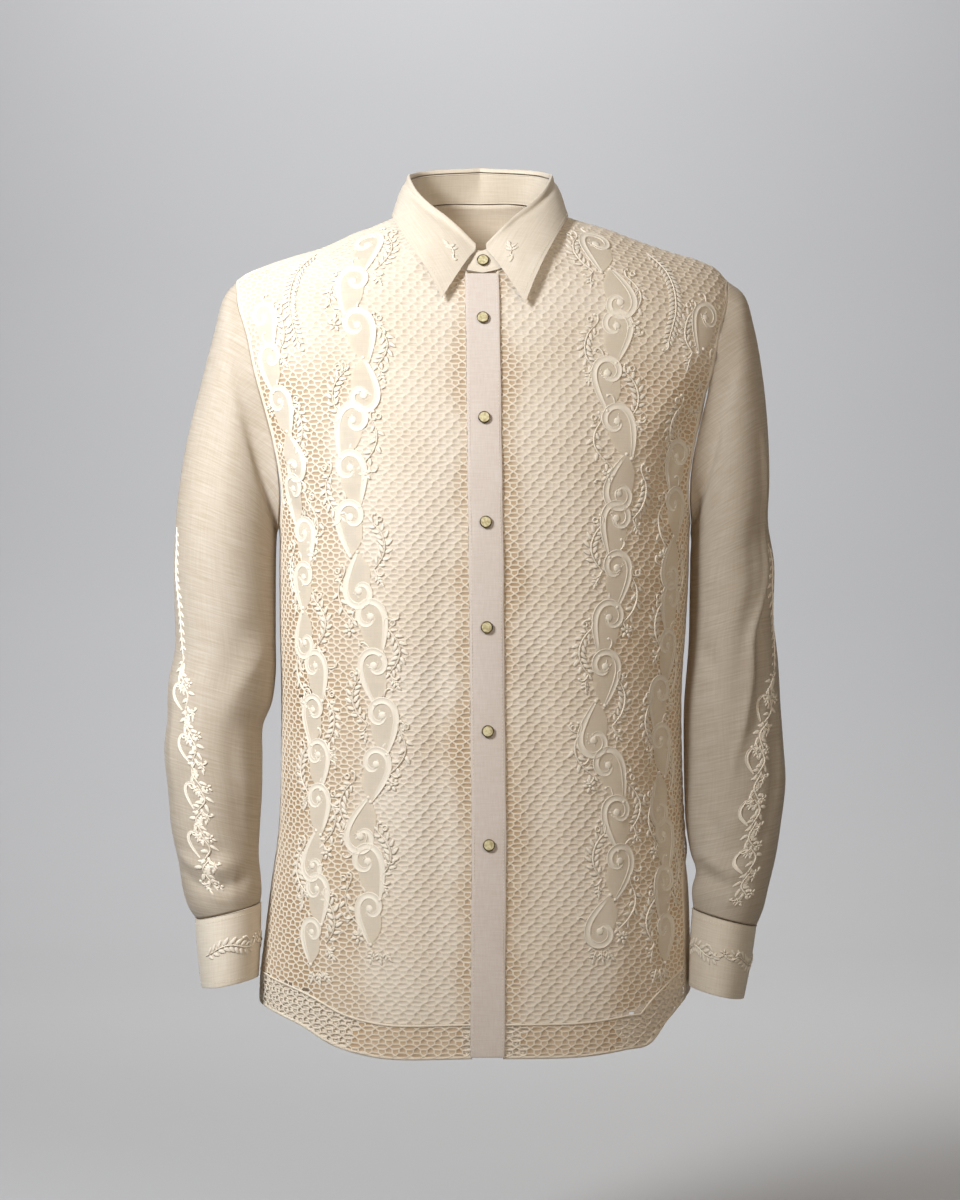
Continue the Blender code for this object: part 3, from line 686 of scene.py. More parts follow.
def collar_round():
    """(side, share) round the neck, from the wearer's left end of the collar round by the back."""
    shares = np.linspace(0, 1, COLLAR_SHARES)
    return [(-1, share) for share in shares] + [(1, share) for share in shares[-2::-1]]


@cache
def stand_lay():
    """The collar's stand unrolled from the middle of the back."""
    under = [(1, STAND_UNDER_SHARE * part) for part in (1, 0.66, 0.33)]
    over = [(-1, STAND_OVER_SHARE * part) for part in (0.33, 0.66, 1)]
    stations = under + collar_round() + over
    rings = []
    for index, (side, share) in enumerate(stations):
        lapping = index >= len(stations) - len(over)
        past_back = index >= len(under) + COLLAR_SHARES
        out = LAYER_STEP if lapping else (stand_out_at(share) if past_back else 0.0)
        low = neck_seam(side, share)
        low[2] += SEAM_GAP + (STAND_LIFT + LAP_LIFT * out) * math.sin(share * math.pi) ** 0.5
        high = collar_lines(side, share)[0]
        high[2] -= STAND_SEAM_DROP
        if lapping or index < len(under):
            high = collar_lines(side, 0)[0]
            high[0] = low[0]
            high[2] -= STAND_SEAM_DROP + STAND_SLANT * share / STAND_OVER_SHARE
        points = [low + (high - low) * up for up in np.linspace(0, 1, STAND_RINGS)]
        rings.append([point + out * away_from_neck(point) for point in points])
    rings = np.array(rings).swapaxes(0, 1)[:, ::-1]
    levels, stations = np.linspace(0, 1, STAND_RINGS), np.linspace(-1, 1, rings.shape[1])
    return Lay(levels, stations, rings, 0, STAND_REACH, 1.2)


@cache
def fall_lay():
    """The collar's fall unrolled from the middle of the back, from its edge up and over the fold."""
    rings = []
    for index, (side, share) in enumerate(collar_round()):
        fold, edge = collar_lines(side, share)
        lap = stand_out_at(share) if index >= COLLAR_SHARES else 0.0
        out = away_from_neck(fold)
        turned = [fold + out * (stand_off + lap) + [0, 0, rise] for stand_off, rise in FOLD_TURN]
        over = turned[-1]
        edge += lap * away_from_neck(edge)
        bulge = FALL_BULGE * away_from_neck(edge)
        for down in np.linspace(0, 1, 7)[1:]:
            straight = over * (1 - down) + edge * down
            turned.append(straight + bulge * math.sin(math.pi * down**FALL_BULGE_HIGH))
        rings.append(turned)
    rings = more_rings(np.array(rings).swapaxes(0, 1), FALL_RINGS)[::-1, ::-1]
    levels, stations = np.linspace(0, 1, FALL_RINGS), np.linspace(-1, 1, rings.shape[1])
    return Lay(levels, stations, rings, 0, FALL_REACH, 1.0)


# ---- Making pieces ----

garment = bpy.data.collections.new("barong_tagalog_shirt")
EDGE_ROUND = 0.0004


def keep(name, shape, lay=None, finishes=(), welded=False):
    """Turns a flat shape into a piece of the shirt, laid on its form, with its flat places as a UV map."""
    mesh = bpy.data.meshes.new(name)
    shape.to_mesh(mesh)
    shape.free()
    flat = np.empty(len(mesh.vertices) * 3)
    mesh.vertices.foreach_get("co", flat)
    flat = flat.reshape(-1, 3)
    corners = np.empty(len(mesh.loops), int)
    mesh.loops.foreach_get("vertex_index", corners)
    cut = mesh.uv_layers.new(name="cut")
    cut.uv.foreach_set("vector", (flat[corners, :2] * MM).astype(np.float32).ravel())
    points = lay.at(flat) if lay else flat
    mesh.vertices.foreach_set("co", (points * MM).astype(np.float32).ravel())
    mesh.update()
    if welded:
        closed = bmesh.new()
        closed.from_mesh(mesh)
        bmesh.ops.remove_doubles(closed, verts=closed.verts, dist=0.5 * MM)
        closed.to_mesh(mesh)
        closed.free()
    mesh.shade_smooth()
    piece = bpy.data.objects.new(name, mesh)
    garment.objects.link(piece)
    for finish in finishes:
        mesh.materials.append(finish)
    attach(piece, "root")
    return piece


def wall(piece, thickness):
    """Gives cloth its thickness, in metres, half of it on each side."""
    solid = piece.modifiers.new("wall", "SOLIDIFY")
    solid.thickness, solid.offset = thickness, 0.0
    return piece


def rounded(piece):
    """Rounds the cut edges of thick cloth."""
    soft = piece.modifiers.new("edge", "BEVEL")
    soft.width, soft.segments, soft.limit_method = EDGE_ROUND, 2, "ANGLE"


def move_to(verts, places):
    """Moves the points of a shape to these places."""
    for vert, place in zip(verts, places):
        vert.co = place


def flat_of(parts):
    """The flat places of some points of a shape."""
    return np.array([vert.co[:2] for vert in parts])


def panel(shape, across, up, place):
    """Adds a grid of cloth. place turns its shares, across and up, into flat places."""
    made = bmesh.ops.create_grid(shape, x_segments=across, y_segments=up, size=1.0)["verts"]
    move_to(made, place(*((flat_of(made) + 1) / 2).T))


def strip(shape, path, half_width, profile, lift=0.0):
    """Adds a strip bent along a flat path. Profile rows say how far across it and how high."""
    path = np.asarray(path, float)[:, :2]
    count = len(path)
    aside = asides(path)
    half_width = np.broadcast_to(half_width, count)
    made = bmesh.ops.create_grid(shape, x_segments=count - 1, y_segments=len(profile) - 1, size=1.0)
    places = []
    for across, high in profile:
        offset = aside * (half_width * -across)[:, None]
        rise = np.full((count, 1), lift) + high * np.minimum(half_width / half_width.max(), 1)[:, None]
        places.append(np.hstack([path + offset, rise]))
    move_to(made["verts"], np.concatenate(places[::-1]))


def rolled(shape, path, half_width, high, low, lift=0.0):
    """Adds a rolled edge along a flat path: a ridge on each face of the cloth."""
    for rise, hand in ((high, 1), (low, -1)):
        strip(shape, path, half_width, [(hand * a, hand * h * rise) for a, h in CORD], lift)


def inside(places, outline):
    """Which flat places are inside an outline."""
    x, y = places[:, 0][:, None], places[:, 1][:, None]
    x0, y0 = outline[:, 0][None, :], outline[:, 1][None, :]
    x1, y1 = np.roll(outline[:, 0], -1)[None, :], np.roll(outline[:, 1], -1)[None, :]
    crosses = (y0 > y) != (y1 > y)
    reach = x0 + (y - y0) * (x1 - x0) / np.where(y1 == y0, 1e-9, y1 - y0)
    return (crosses & (x < reach)).sum(axis=1) % 2 == 1


def onto(places, outline):
    """The nearest places on an outline."""
    a, b = outline, np.roll(outline, -1, axis=0)
    span = b - a
    part = ((places[:, None, :] - a[None]) * span[None]).sum(-1) / np.maximum((span**2).sum(-1), 1e-12)
    feet = a[None] + span[None] * np.clip(part, 0, 1)[..., None]
    best = np.argmin(((places[:, None, :] - feet) ** 2).sum(-1), axis=1)
    return feet[np.arange(len(places)), best]


def cut_to(shape, outline, least):
    """Trims flat faces to an outline: points outside are drawn in to it, and slivers are dropped."""
    outline = np.asarray(outline, float)[:, :2]
    faces = list(shape.faces)
    middles = np.array([face.calc_center_median()[:2] for face in faces])
    low, high = outline.min(axis=0) - 20, outline.max(axis=0) + 20
    far = ((middles < low) | (middles > high)).any(axis=1)
    outer = [face for face, away in zip(faces, far) if away]
    bmesh.ops.delete(shape, geom=outer, context="FACES")
    within = inside(flat_of(shape.verts), outline)
    kept = {vert for vert, here in zip(shape.verts, within) if here}
    dropped = [face for face in shape.faces if not any(vert in kept for vert in face.verts)]
    bmesh.ops.delete(shape, geom=dropped, context="FACES")
    stray = [vert for vert in shape.verts if vert not in kept]
    if stray:
        for vert, foot in zip(stray, onto(flat_of(stray), outline)):
            vert.co[0], vert.co[1] = foot
    slivers = [face for face in shape.faces if face.calc_area() < least]
    bmesh.ops.delete(shape, geom=slivers, context="FACES")


# How near the corners of the net's faces are when they are joined, the least of a cell's pitch by rise
# that a trimmed face keeps, and how open the cloth is where nothing is left in its slits
NET_WELD = 0.05
LEAST_FACE = 0.28 / 3
DRAWN_OUT = 0.93
# The sharpest corner, in radians, and the least width, in threads, of a face with room for a slit
SHARPEST_SLIT = 0.5
NARROWEST_SLIT = 0.62


def repeat(shape, across, up):
    """Adds a copy of all of a shape, set off across and up."""
    copied = bmesh.ops.duplicate(shape, geom=[*shape.verts, *shape.edges, *shape.faces])["geom"]
    moved = [part for part in copied if isinstance(part, bmesh.types.BMVert)]
    bmesh.ops.translate(shape, vec=(across, up, 0), verts=moved)


def flat_net(low, high, pitch, rise, half_slit, shift):
    """An even net of slits, with small eyes between them, over the places from low to high."""
    shape = bmesh.new()
    slit = bmesh.ops.create_circle(shape, cap_ends=True, segments=6, radius=1.0)["verts"]
    corners = ((-2, 0), (-1, 1), (1, 1), (2, 0), (1, -1), (-1, -1))
    around = sorted(slit, key=lambda vert: -math.atan2(vert.co.y, vert.co.x))
    order = sorted(range(6), key=lambda n: -math.atan2(corners[n][1], corners[n][0]))
    for vert, n in zip(around, order):
        vert.co = (corners[n][0] * pitch / 4, corners[n][1] * half_slit, 0.0)
    for middle, foot, head in ((pitch / 2, 0.0, None), (0.0, None, rise)):
        eye = bmesh.ops.create_circle(shape, cap_ends=True, segments=5, radius=1.0)["verts"]
        sill, top = half_slit, rise - half_slit
        corner = (
            ((-1, sill), (0, foot), (1, sill), (1, top), (-1, top))
            if head is None
            else ((-1, sill), (1, sill), (1, top), (0, head), (-1, top))
        )
        for vert, (aside, height) in zip(eye[0].link_faces[0].verts, corner):
            vert.co = (middle + aside * pitch / 4, height, 0.0)
    repeat(shape, pitch / 2, rise)
    for axis, every in ((0, pitch), (1, 2 * rise)):
        need, have = int((high - low)[axis] / every) + 2, 1
        while have < need:
            more = min(have, need - have)
            repeat(shape, more * every * (1 - axis), more * every * axis)
            have += more
    bmesh.ops.remove_doubles(shape, verts=shape.verts, dist=NET_WELD)
    start = np.floor(low / (pitch, 2 * rise)) * (pitch, 2 * rise)
    bmesh.ops.translate(shape, vec=(start[0] - shift[0], start[1] - shift[1], 0), verts=shape.verts)
    return shape


def openwork(outline, holes, sizes, seed, openness, shift=(0.0, 0.0)):
    """A flat lattice of slits and small eyes inside an outline, left open over the holes.

    openness says, for flat places, how open the cloth is there: from 0, where the threads left in the
    slits still close them, to 1, where they are drawn right out.
    """
    pitch, rise = sizes.pitch / MM, sizes.rise / MM
    outline = np.asarray(outline, float)[:, :2]
    shape = flat_net(outline.min(axis=0), outline.max(axis=0), pitch, rise, sizes.slit / MM / 2, shift)
    # Which corded diagonal each crossing is on, before the cloth's unevenness moves it
    corded, clear = (shape.verts.layers.float.new(name) for name in ("corded", "open"))
    for vert in shape.verts:
        x, y = vert.co.x + shift[0], vert.co.y + shift[1]
        row = round(y / rise)
        aside = (x - (pitch / 2 if row % 2 else 0) + pitch / 2) % pitch - pitch / 2
        vert[corded] = sizes.cross if aside * (y - row * rise) > 1e-3 else sizes.cord
    for vert in shape.verts:
        vert.co += uneven(vert.co, seed, sizes.uneven / MM)
    cut_to(shape, outline, LEAST_FACE * pitch * rise)
    faces = list(shape.faces)
    middles = np.array([face.calc_center_median()[:2] for face in faces])
    gone = np.zeros(len(middles), bool)
    for hole in holes:
        near = np.flatnonzero(inside(middles, hole))
        within = [inside(flat_of(faces[n].verts), hole).all() for n in near]
        gone[near[np.array(within, bool)]] = True
    bmesh.ops.delete(shape, geom=[face for face, out in zip(faces, gone) if out], context="FACES")
    crossings = list(shape.verts)
    slits = [face for face in shape.faces if roomy(face, sizes.thread / MM)]
    bmesh.ops.inset_individual(
        shape, faces=slits, thickness=sizes.thread / MM / 2, depth=0.0, use_even_offset=True
    )
    for vert, part in zip(shape.verts, openness(flat_of(shape.verts))):
        vert[clear] = part
    drawn = [face for face in slits if max(vert[clear] for vert in face.verts) > DRAWN_OUT]
    bmesh.ops.delete(shape, geom=drawn, context="FACES_ONLY")
    for face in slits:
        if face.is_valid:
            face.material_index = 1
    for vert in crossings:
        vert.co.z = vert[corded] / MM
    return shape


def roomy(face, thread):
    """Whether a face has room for a hole between its threads."""
    sharpest = min(corner.calc_angle() for corner in face.loops)
    width = 2 * face.calc_area() / face.calc_perimeter()
    return sharpest > SHARPEST_SLIT and width > thread * NARROWEST_SLIT


def uneven(place, seed, size):
    """A small steady unevenness, as in hand-drawn threads."""
    shifted = Vector((place[0] * 0.11, place[1] * 0.11, seed * 7.3))
    fine = Vector((place[0] * 0.7, place[1] * 0.7, seed * 3.1 + 11))
    drift = noise.noise_vector(shifted) * size * 2.2 + noise.noise_vector(fine) * size
    return Vector((drift.x, drift.y, 0.0))


# ---- Outlines, flat ----


def front_outline(side):
    """One front's cut, flat: the neck, the shoulder, the armhole, the side seam, the hem and the band."""
    lay = body_lay(False)
    edge = UNDER_PLACKET_WIDTH / 2 + SEAM_GAP
    places = []
    for height in np.linspace(NECK_FRONT, NECK_SIDE, 30):
        reach = max(float(neck_reach(height, False)), edge)
        places.append((height, float(turn_at(side, height, reach))))
    places += [(height, 90.0) for height in np.linspace(NECK_SIDE, SHOULDER_TIP, 30)[1:]]
    lowest = float(hem_height(side, side_seam_turn(side, -720)))
    for start, end, count in ((SHOULDER_TIP, ARMPIT, 50), (ARMPIT, lowest, 60)):
        places += [(h, outer_turn(side, h, False)) for h in np.linspace(start, end, count)[1:]]
    last = float(turn_at(side, HEM_MIDDLE, edge))
    places += [(float(hem_height(side, t)), t) for t in np.linspace(places[-1][1], last, 60)[1:]]
    places += [(h, float(turn_at(side, h, edge))) for h in np.linspace(HEM_MIDDLE, NECK_FRONT, 80)[1:-1]]
    heights, turns = np.array(places).T
    return lay.flat(heights, side * turns)


# Where each edge of a front's outline starts and ends, in its places
EDGES = {"neck": (0, 29), "shoulder": (29, 58), "armhole": (58, 107), "side": (107, 166), "hem": (166, 225)}


def edge_of(outline, name):
    """One edge of a front's outline, without its height above the cloth."""
    start, end = EDGES[name]
    return outline[start : end + 1, :2]


# ---- Needlework ----

CORD = ((-1, 0.0), (-0.62, 0.78), (0, 1.0), (0.62, 0.78), (1, 0.0))
# A scroll's band, half its section: a corded edge and a low satin middle
BAND = ((-1, 0.2), (-0.87, 1.0), (-0.7, 0.5), (0, 0.66), (0.7, 0.5), (0.87, 1.0), (1, 0.2))
SCROLL_LENGTH = 88.0
# How tightly a scroll curls, from its ball to its tail: (share of its length, bend per mm)
SCROLL_BEND = (
    (0, 0.2), (0.1, 0.175), (0.18, 0.12), (0.3, 0.098), (0.5, 0.088), (0.6, 0.055), (0.72, 0.022), (1, 0.006),
)
SCROLL_WIDTH = ((0, 0.55), (0.15, 0.85), (0.35, 1.0), (0.62, 1.0), (0.85, 0.78), (1, 0.42))
CURL_BEND = ((0, 0.5), (0.3, 0.3), (0.7, 0.08), (1, -0.05))


def bent(length, bends, step=1.3):
    """A flat path of a length whose bend changes smoothly along it."""
    count = max(int(length / step), 6)
    share = np.linspace(0, 1, count + 1)
    bend = smooth(*np.array(bends, float).T, share)
    heading = np.concatenate([[0], np.cumsum((bend[1:] + bend[:-1]) / 2)]) * length / count
    steps = np.stack([np.cos(heading), np.sin(heading)], axis=-1) * length / count
    return np.concatenate([[[0, 0]], np.cumsum((steps[1:] + steps[:-1]) / 2, axis=0)])


def set_between(path, tail, head, hand):
    """Turns and scales a curled path so that its tail and its crown come to two places."""
    line = path[:, 0] + 1j * path[:, 1] * hand
    crown = line[np.argmax(np.abs(line - line[-1]))]
    tail, head = complex(*tail[:2]), complex(*head[:2])
    placed = tail + (line - line[-1]) * (head - tail) / (crown - line[-1])
    return np.stack([placed.real, placed.imag], axis=-1)


def facing(path, index):
    """The direction of a path at one of its points."""
    way = path[min(index + 1, len(path) - 1)] - path[max(index - 1, 0)]
    return math.atan2(way[1], way[0])


def hand_of(path):
    """1 where a curled path turns to the left, and -1 where it turns to the right."""
    middle = len(path) // 2
    before, after = path[middle] - path[middle - 3], path[middle + 3] - path[middle]
    return math.copysign(1.0, before[0] * after[1] - before[1] * after[0])


def polar(angle, distance):
    """A step in a direction."""
    return np.array([math.cos(angle), math.sin(angle)]) * distance


def set_down(shape, verts, place, lift, heading, size):
    """Stretches and turns a small round shape, and sets it down on its flat place."""
    put = Matrix.Translation((place[0], place[1], lift)) @ Matrix.Rotation(heading, 4, "Z")
    bmesh.ops.transform(shape, matrix=put @ Matrix.Diagonal((*size, 1.0)), verts=verts)


class Heap:
    """Small shapes gathered a few at a time, because each operator walks the whole shape it works on."""

    def __init__(self):
        self.shape = bmesh.new()
        self.meshes = []

    def settle(self, most=900):
        """The shape to add to, emptied into a mesh of its own once it is full."""
        if len(self.shape.verts) > most:
            mesh = bpy.data.meshes.new("heap")
            self.shape.to_mesh(mesh)
            self.shape.clear()
            self.meshes.append(mesh)
        return self.shape

    def whole(self):
        """All that was gathered, as one shape."""
        self.settle(0)
        for mesh in self.meshes:
            self.shape.from_mesh(mesh)
            bpy.data.meshes.remove(mesh)
        return self.shape


class Needlework:
    """Raised needlework, drawn flat as one mesh and kept inside an outline."""

    def __init__(self, sizes, outline=None, lift=0.5):
        self.heap = Heap()
        self.sizes = sizes
        self.outline = None if outline is None else np.asarray(outline)[:, :2]
        self.lift = lift

    def fits(self, places):
        """Whether all these places are inside the outline."""
        return self.outline is None or bool(inside(np.atleast_2d(places)[:, :2], self.outline).all())

    def band(self, path, half_width):
        """A scroll's band, with a ball at its head."""
        widths = half_width * smooth(*np.array(SCROLL_WIDTH, float).T, np.linspace(0, 1, len(path)))
        if self.fits(path):
            profile = [(a, h * self.sizes.relief / MM) for a, h in BAND]
            strip(self.heap.settle(), path, widths, profile, self.lift)
            ball = path[0] + polar(facing(path, 1) + hand_of(path) * 1.57, half_width * 0.7)
            self.dome(ball, half_width * 1.25, 1.2)

    def cord(self, path, half_width=None):
        """A raised cord, finer at both ends."""
        half_width = half_width or self.sizes.cord / MM / 2
        if self.fits(path):
            taper = np.sin(math.pi * np.linspace(0.08, 0.92, len(path))) ** 0.35
            strip(self.heap.settle(), path, half_width * taper, [(a, h * 1.2) for a, h in CORD], self.lift)

    def dome(self, place, radius, height=0.9):
        """A round padded dot."""
        if self.fits(place):
            shape = self.heap.settle()
            finer = 2 if radius > 1.5 else 1
            made = bmesh.ops.create_icosphere(shape, subdivisions=finer, radius=1.0)["verts"]
            set_down(shape, made, place, self.lift, 0.0, (radius, radius, height))

    def leaf(self, place, heading, length, width, height=None):
        """A pointed satin leaf that starts at a place."""
        if not self.fits([place, place + polar(heading, length)]):
            return
        height = height or self.sizes.leaf_relief / MM
        shape = self.heap.settle()
        made = bmesh.ops.create_uvsphere(shape, u_segments=6, v_segments=5, radius=1.0)["verts"]
        bmesh.ops.transform(shape, matrix=Matrix.Rotation(math.pi / 2, 4, "Y"), verts=made)
        for vert in made:
            vert.co.y *= 1 - 0.32 * vert.co.x
        middle = place + polar(heading, length / 2)
        set_down(shape, made, middle, self.lift, heading, (length / 2, width / 2, height))

    def vine(self, path, every, both=True):
        """A cord with satin leaves along it, paired, and one at its end."""
        if not self.fits(path):
            return
        self.cord(path)
        length, width = self.sizes.leaf_length / MM, self.sizes.leaf_width / MM
        step = np.linalg.norm(path[1] - path[0])
        for number, index in enumerate(range(3, len(path) - 1, max(int(every / step), 1))):
            way = facing(path, index)
            small = 0.72 + 0.28 * math.sin(math.pi * index / len(path))
            for hand in (1, -1) if both else ((1,) if number % 2 else (-1,)):
                stem = path[index] + polar(way + hand * 1.2, 1.1)
                self.leaf(stem, way + hand * 0.82, length * small, width * small)
        self.leaf(path[-1], facing(path, len(path) - 1), length * 0.8, width * 0.8)

    def sprig(self, place, heading, size=1.0):
        """A short stem with three or five small leaves."""
        stem = place + bent(9.0 * size, ((0, 0.02), (1, 0.07)), 1.5) @ turned_by(heading)
        self.cord(stem, self.sizes.cord / MM * 0.42)
        length, width = self.sizes.leaf_length / MM * 0.66 * size, self.sizes.leaf_width / MM * 0.7 * size
        for part, aside in ((0.45, 0.95), (0.45, -0.95), (0.8, 0.75), (0.8, -0.75)):
            self.leaf(stem[int(part * (len(stem) - 1))], heading + aside, length, width)
        self.leaf(stem[-1], facing(stem, len(stem) - 1), length * 1.1, width)

    def curl(self, place, heading, length, hand):
        """A small corded curl that springs from a place and ends in a bead."""
        path = bent(length, CURL_BEND, 1.1)[::-1]
        path = (path - path[0]) * (1, hand)
        first = math.atan2(*(path[1] - path[0])[::-1])
        path = path @ turned_by(heading - first) + place
        if self.fits(path):
            self.cord(path, self.sizes.cord / MM * 0.6)
            self.dome(path[-1], self.sizes.cord / MM * 1.05, 1.1)

    def flower(self, place, size, turn=0.3):
        """Five petals round a dot."""
        for number in range(5):
            heading = turn + number * 2 * math.pi / 5
            self.leaf(place + polar(heading, size * 0.28), heading, size, size * 0.66, 1.1)
        self.dome(place, size * 0.3, 1.5)

    def ring(self, place, radius):
        """A corded eyelet."""
        angles = np.linspace(0, 2 * math.pi, 15)
        path = place + radius * np.stack([np.cos(angles), np.sin(angles)], axis=-1)
        if self.fits(path):
            half_width = self.sizes.cord / MM * 0.5
            strip(self.heap.settle(), path, half_width, [(a, h * 1.1) for a, h in CORD], self.lift)


def turned_by(angle):
    """The matrix that turns rows of flat places by an angle."""
    return np.array([[math.cos(angle), math.sin(angle)], [-math.sin(angle), math.cos(angle)]])


# The columns of scrolls on a front, as places (to the side of the middle, height) from the shoulder down
INNER_COLUMN = (
    (99, -20), (112, -60), (117, -100), (108, -157), (124, -220), (117, -282), (111, -345), (104, -395),
    (97, -444), (97, -490), (109, -530), (116, -575), (105, -624), (98, -664),
)
OUTER_COLUMN = (
    (202, -84), (196, -120), (188, -165), (176, -221), (168, -285), (164, -363), (157, -426), (154, -480),
    (156, -540), (158, -600), (156, -650), (152, -684),
)
SHOULDER_VINE = ((152, -36), (170, -56), (176, -86), (168, -120))
# Which way each scroll curls, and which ones hang head down
HANDS = (1, -1, 1, 1, -1, 1, -1, -1, 1, -1, 1, 1, -1, 1, -1, 1, -1, 1, -1, 1, 1, -1)
HANGING = (3, 7, 12, 16)


def along(path, distance):
    """A place on a path, and the way of the path there, at a distance along it."""
    run = run_of(path)
    at = np.array([np.interp(distance, run, path[:, 0]), np.interp(distance, run, path[:, 1])])
    index = int(np.clip(np.searchsorted(run, distance), 1, len(path) - 1))
    way = path[index] - path[index - 1]
    return at, math.atan2(way[1], way[0]), run[-1]


def column_scrolls(side, places, pitch, seed):
    """The scroll paths of one column, and its spine."""
    draw = np.random.RandomState(seed)
    shift = 0.0 if side < 0 else 3.0
    spine = spaced(front_spots((side * (x + shift), z) for x, z in places), 2.0)
    length = along(spine, 0)[2]
    count = int(length / pitch)
    paths = []
    for number in range(count):
        head = along(spine, number * length / count)[0]
        tail = along(spine, (number + 1) * length / count + 4.0)[0]
        hand = HANDS[(number + (0 if side < 0 else 5)) % len(HANDS)]
        aside = draw.uniform(-2.5, 2.5)
        head[0] += aside - hand * side * 1.0
        tail[0] += aside - hand * side * 6.0
        if (number + (0 if side < 0 else 2)) % len(HANDS) in HANGING:
            head, tail, hand = tail, head, -hand
        path = set_between(bent(SCROLL_LENGTH, SCROLL_BEND), tail, head, hand * side)
        paths.append(path)
    return spine, paths


def patch_of(path):
    """The outline of the plain cloth that a scroll holds, a little larger to reach under its stitches."""
    curl = path[int(0.2 * len(path)) :]
    middle = (curl[0] + curl[-1]) / 2
    away = middle - path[int(0.7 * len(path))]
    bulge = middle + away * 0.3
    patch = np.concatenate([curl, spaced([curl[-1], bulge, curl[0]], 3.0)[1:-1]])
    return patch.mean(axis=0) + (patch - patch.mean(axis=0)) * 1.05


@cache
def front_design(side, scroll_pitch):
    """A front's columns of scrolls, the inner first: each its spine and the paths of its scrolls."""
    seed = 11 if side < 0 else 23
    return (
        column_scrolls(side, INNER_COLUMN, scroll_pitch / MM, seed),
        column_scrolls(side, OUTER_COLUMN, scroll_pitch / MM * 0.92, seed + 1),
    )


def stitch_front(side, sizes):
    """All the needlework of one front."""
    outline = front_outline(side)
    (inner_spine, inner), (outer_spine, outer) = front_design(side, sizes.scroll_pitch)
    work = Needlework(sizes, inner_hull(outline), 0.75)
    draw = np.random.RandomState(5 if side < 0 else 6)
    half = sizes.band / MM / 2
    for paths, scale in ((inner, 1.0), (outer, 0.86)):
        for number, path in enumerate(paths):
            work.band(path, half * scale)
            middle = path[int(0.12 * len(path)) : int(0.8 * len(path))].mean(axis=0)
            way = facing(path, int(0.85 * len(path)))
            away = middle - path[len(path) // 2]
            toward = math.atan2(away[1], away[0])
            foot = middle + polar(way, 7) + polar(toward, 1.0)
            work.sprig(foot, way + math.pi + draw.uniform(-0.5, 0.5), 0.72)
            for _ in range(5):
                spot = middle + polar(draw.uniform(0, 6.28), draw.uniform(2.5, 7.0)) + polar(way, 3)
                work.dome(spot, 0.8, 0.8)
            # Curls spring from the outside of the band, and a bead sits where two scrolls meet
            for part in (0.42, 0.66):
                index = int(part * len(path))
                out = facing(path, index) - hand_of(path) * 1.25
                root = path[index] + polar(out, half * scale)
                if (number + int(part * 10)) % 3:
                    work.curl(root, out + draw.uniform(-0.3, 0.3), draw.uniform(9, 14), draw.choice([-1, 1]))
                else:
                    work.leaf(root, out, 6.0, 2.8)
            work.dome(path[-1], 1.9, 1.3)
    # Leafy arcs beside the columns, first on one side and then on the other
    for spine, off, every, leaves in ((inner_spine, 17.0, 47.0, 7.6), (outer_spine, 13.0, 45.0, 7.2)):
        length = along(spine, 0)[2]
        for number, start in enumerate(np.arange(6, length - 40, every)):
            hand = (1 if number % 2 else -1) * side
            aside = np.array([hand * off, 0.0])
            first, last = along(spine, start)[0] + aside, along(spine, start + 42)[0] + aside * 0.8
            middle = (first + last) / 2 + (hand * (10.5 + draw.uniform(-1.5, 1.5)), 0.0)
            bow = (hand * 2.6, 0)
            path = [first, (first + middle) / 2 + bow, middle, (middle + last) / 2 + bow, last]
            path = spaced(path, 1.6)
            work.vine(path if number % 3 else path[::-1], leaves, number % 3 != 1)
            work.curl(last, -math.pi / 2 + hand * 0.5, 12.0, -hand)
            work.curl(first, math.pi / 2 + hand * 0.3, 10.0, hand)
            work.ring(first + (hand * 6.5, 3.5), 2.3)
            if number % 3 == 1:
                work.flower(last + (hand * 4.0, -8.0), 5.4, draw.uniform(0, 1))
            else:
                work.sprig(last + (hand * 2.0, -5.0), -math.pi / 2 + hand * draw.uniform(0.2, 0.8), 0.9)
    vine = spaced(front_spots((side * x, z) for x, z in SHOULDER_VINE), 1.6)
    work.vine(vine, 6.2)
    work.curl(vine[-1], -math.pi / 2, 12.0, side)
    # A spray at the foot of each column
    for spine in (inner_spine, outer_spine):
        foot = spine[-1]
        for turn in (-0.5, 0.0, 0.5):
            work.sprig(foot + (turn * 9, -5), -math.pi / 2 + turn, 0.9)
    return work.heap.whole()


# How far needlework keeps off a front's seams
NEEDLEWORK_MARGIN = 2.5


def signed_area(outline):
    """The area within a flat outline, over nought where it runs anticlockwise."""
    x, y = outline[:, 0], outline[:, 1]
    return float((x * np.roll(y, -1) - np.roll(x, -1) * y).sum()) / 2


def inner_hull(outline):
    """A front's outline drawn in by a few millimetres, so that needlework stays off its seams."""
    outline = np.asarray(outline)[:, :2]
    return outline + asides(outline, closed=True) * math.copysign(NEEDLEWORK_MARGIN, signed_area(outline))


# ---- Finishes ----


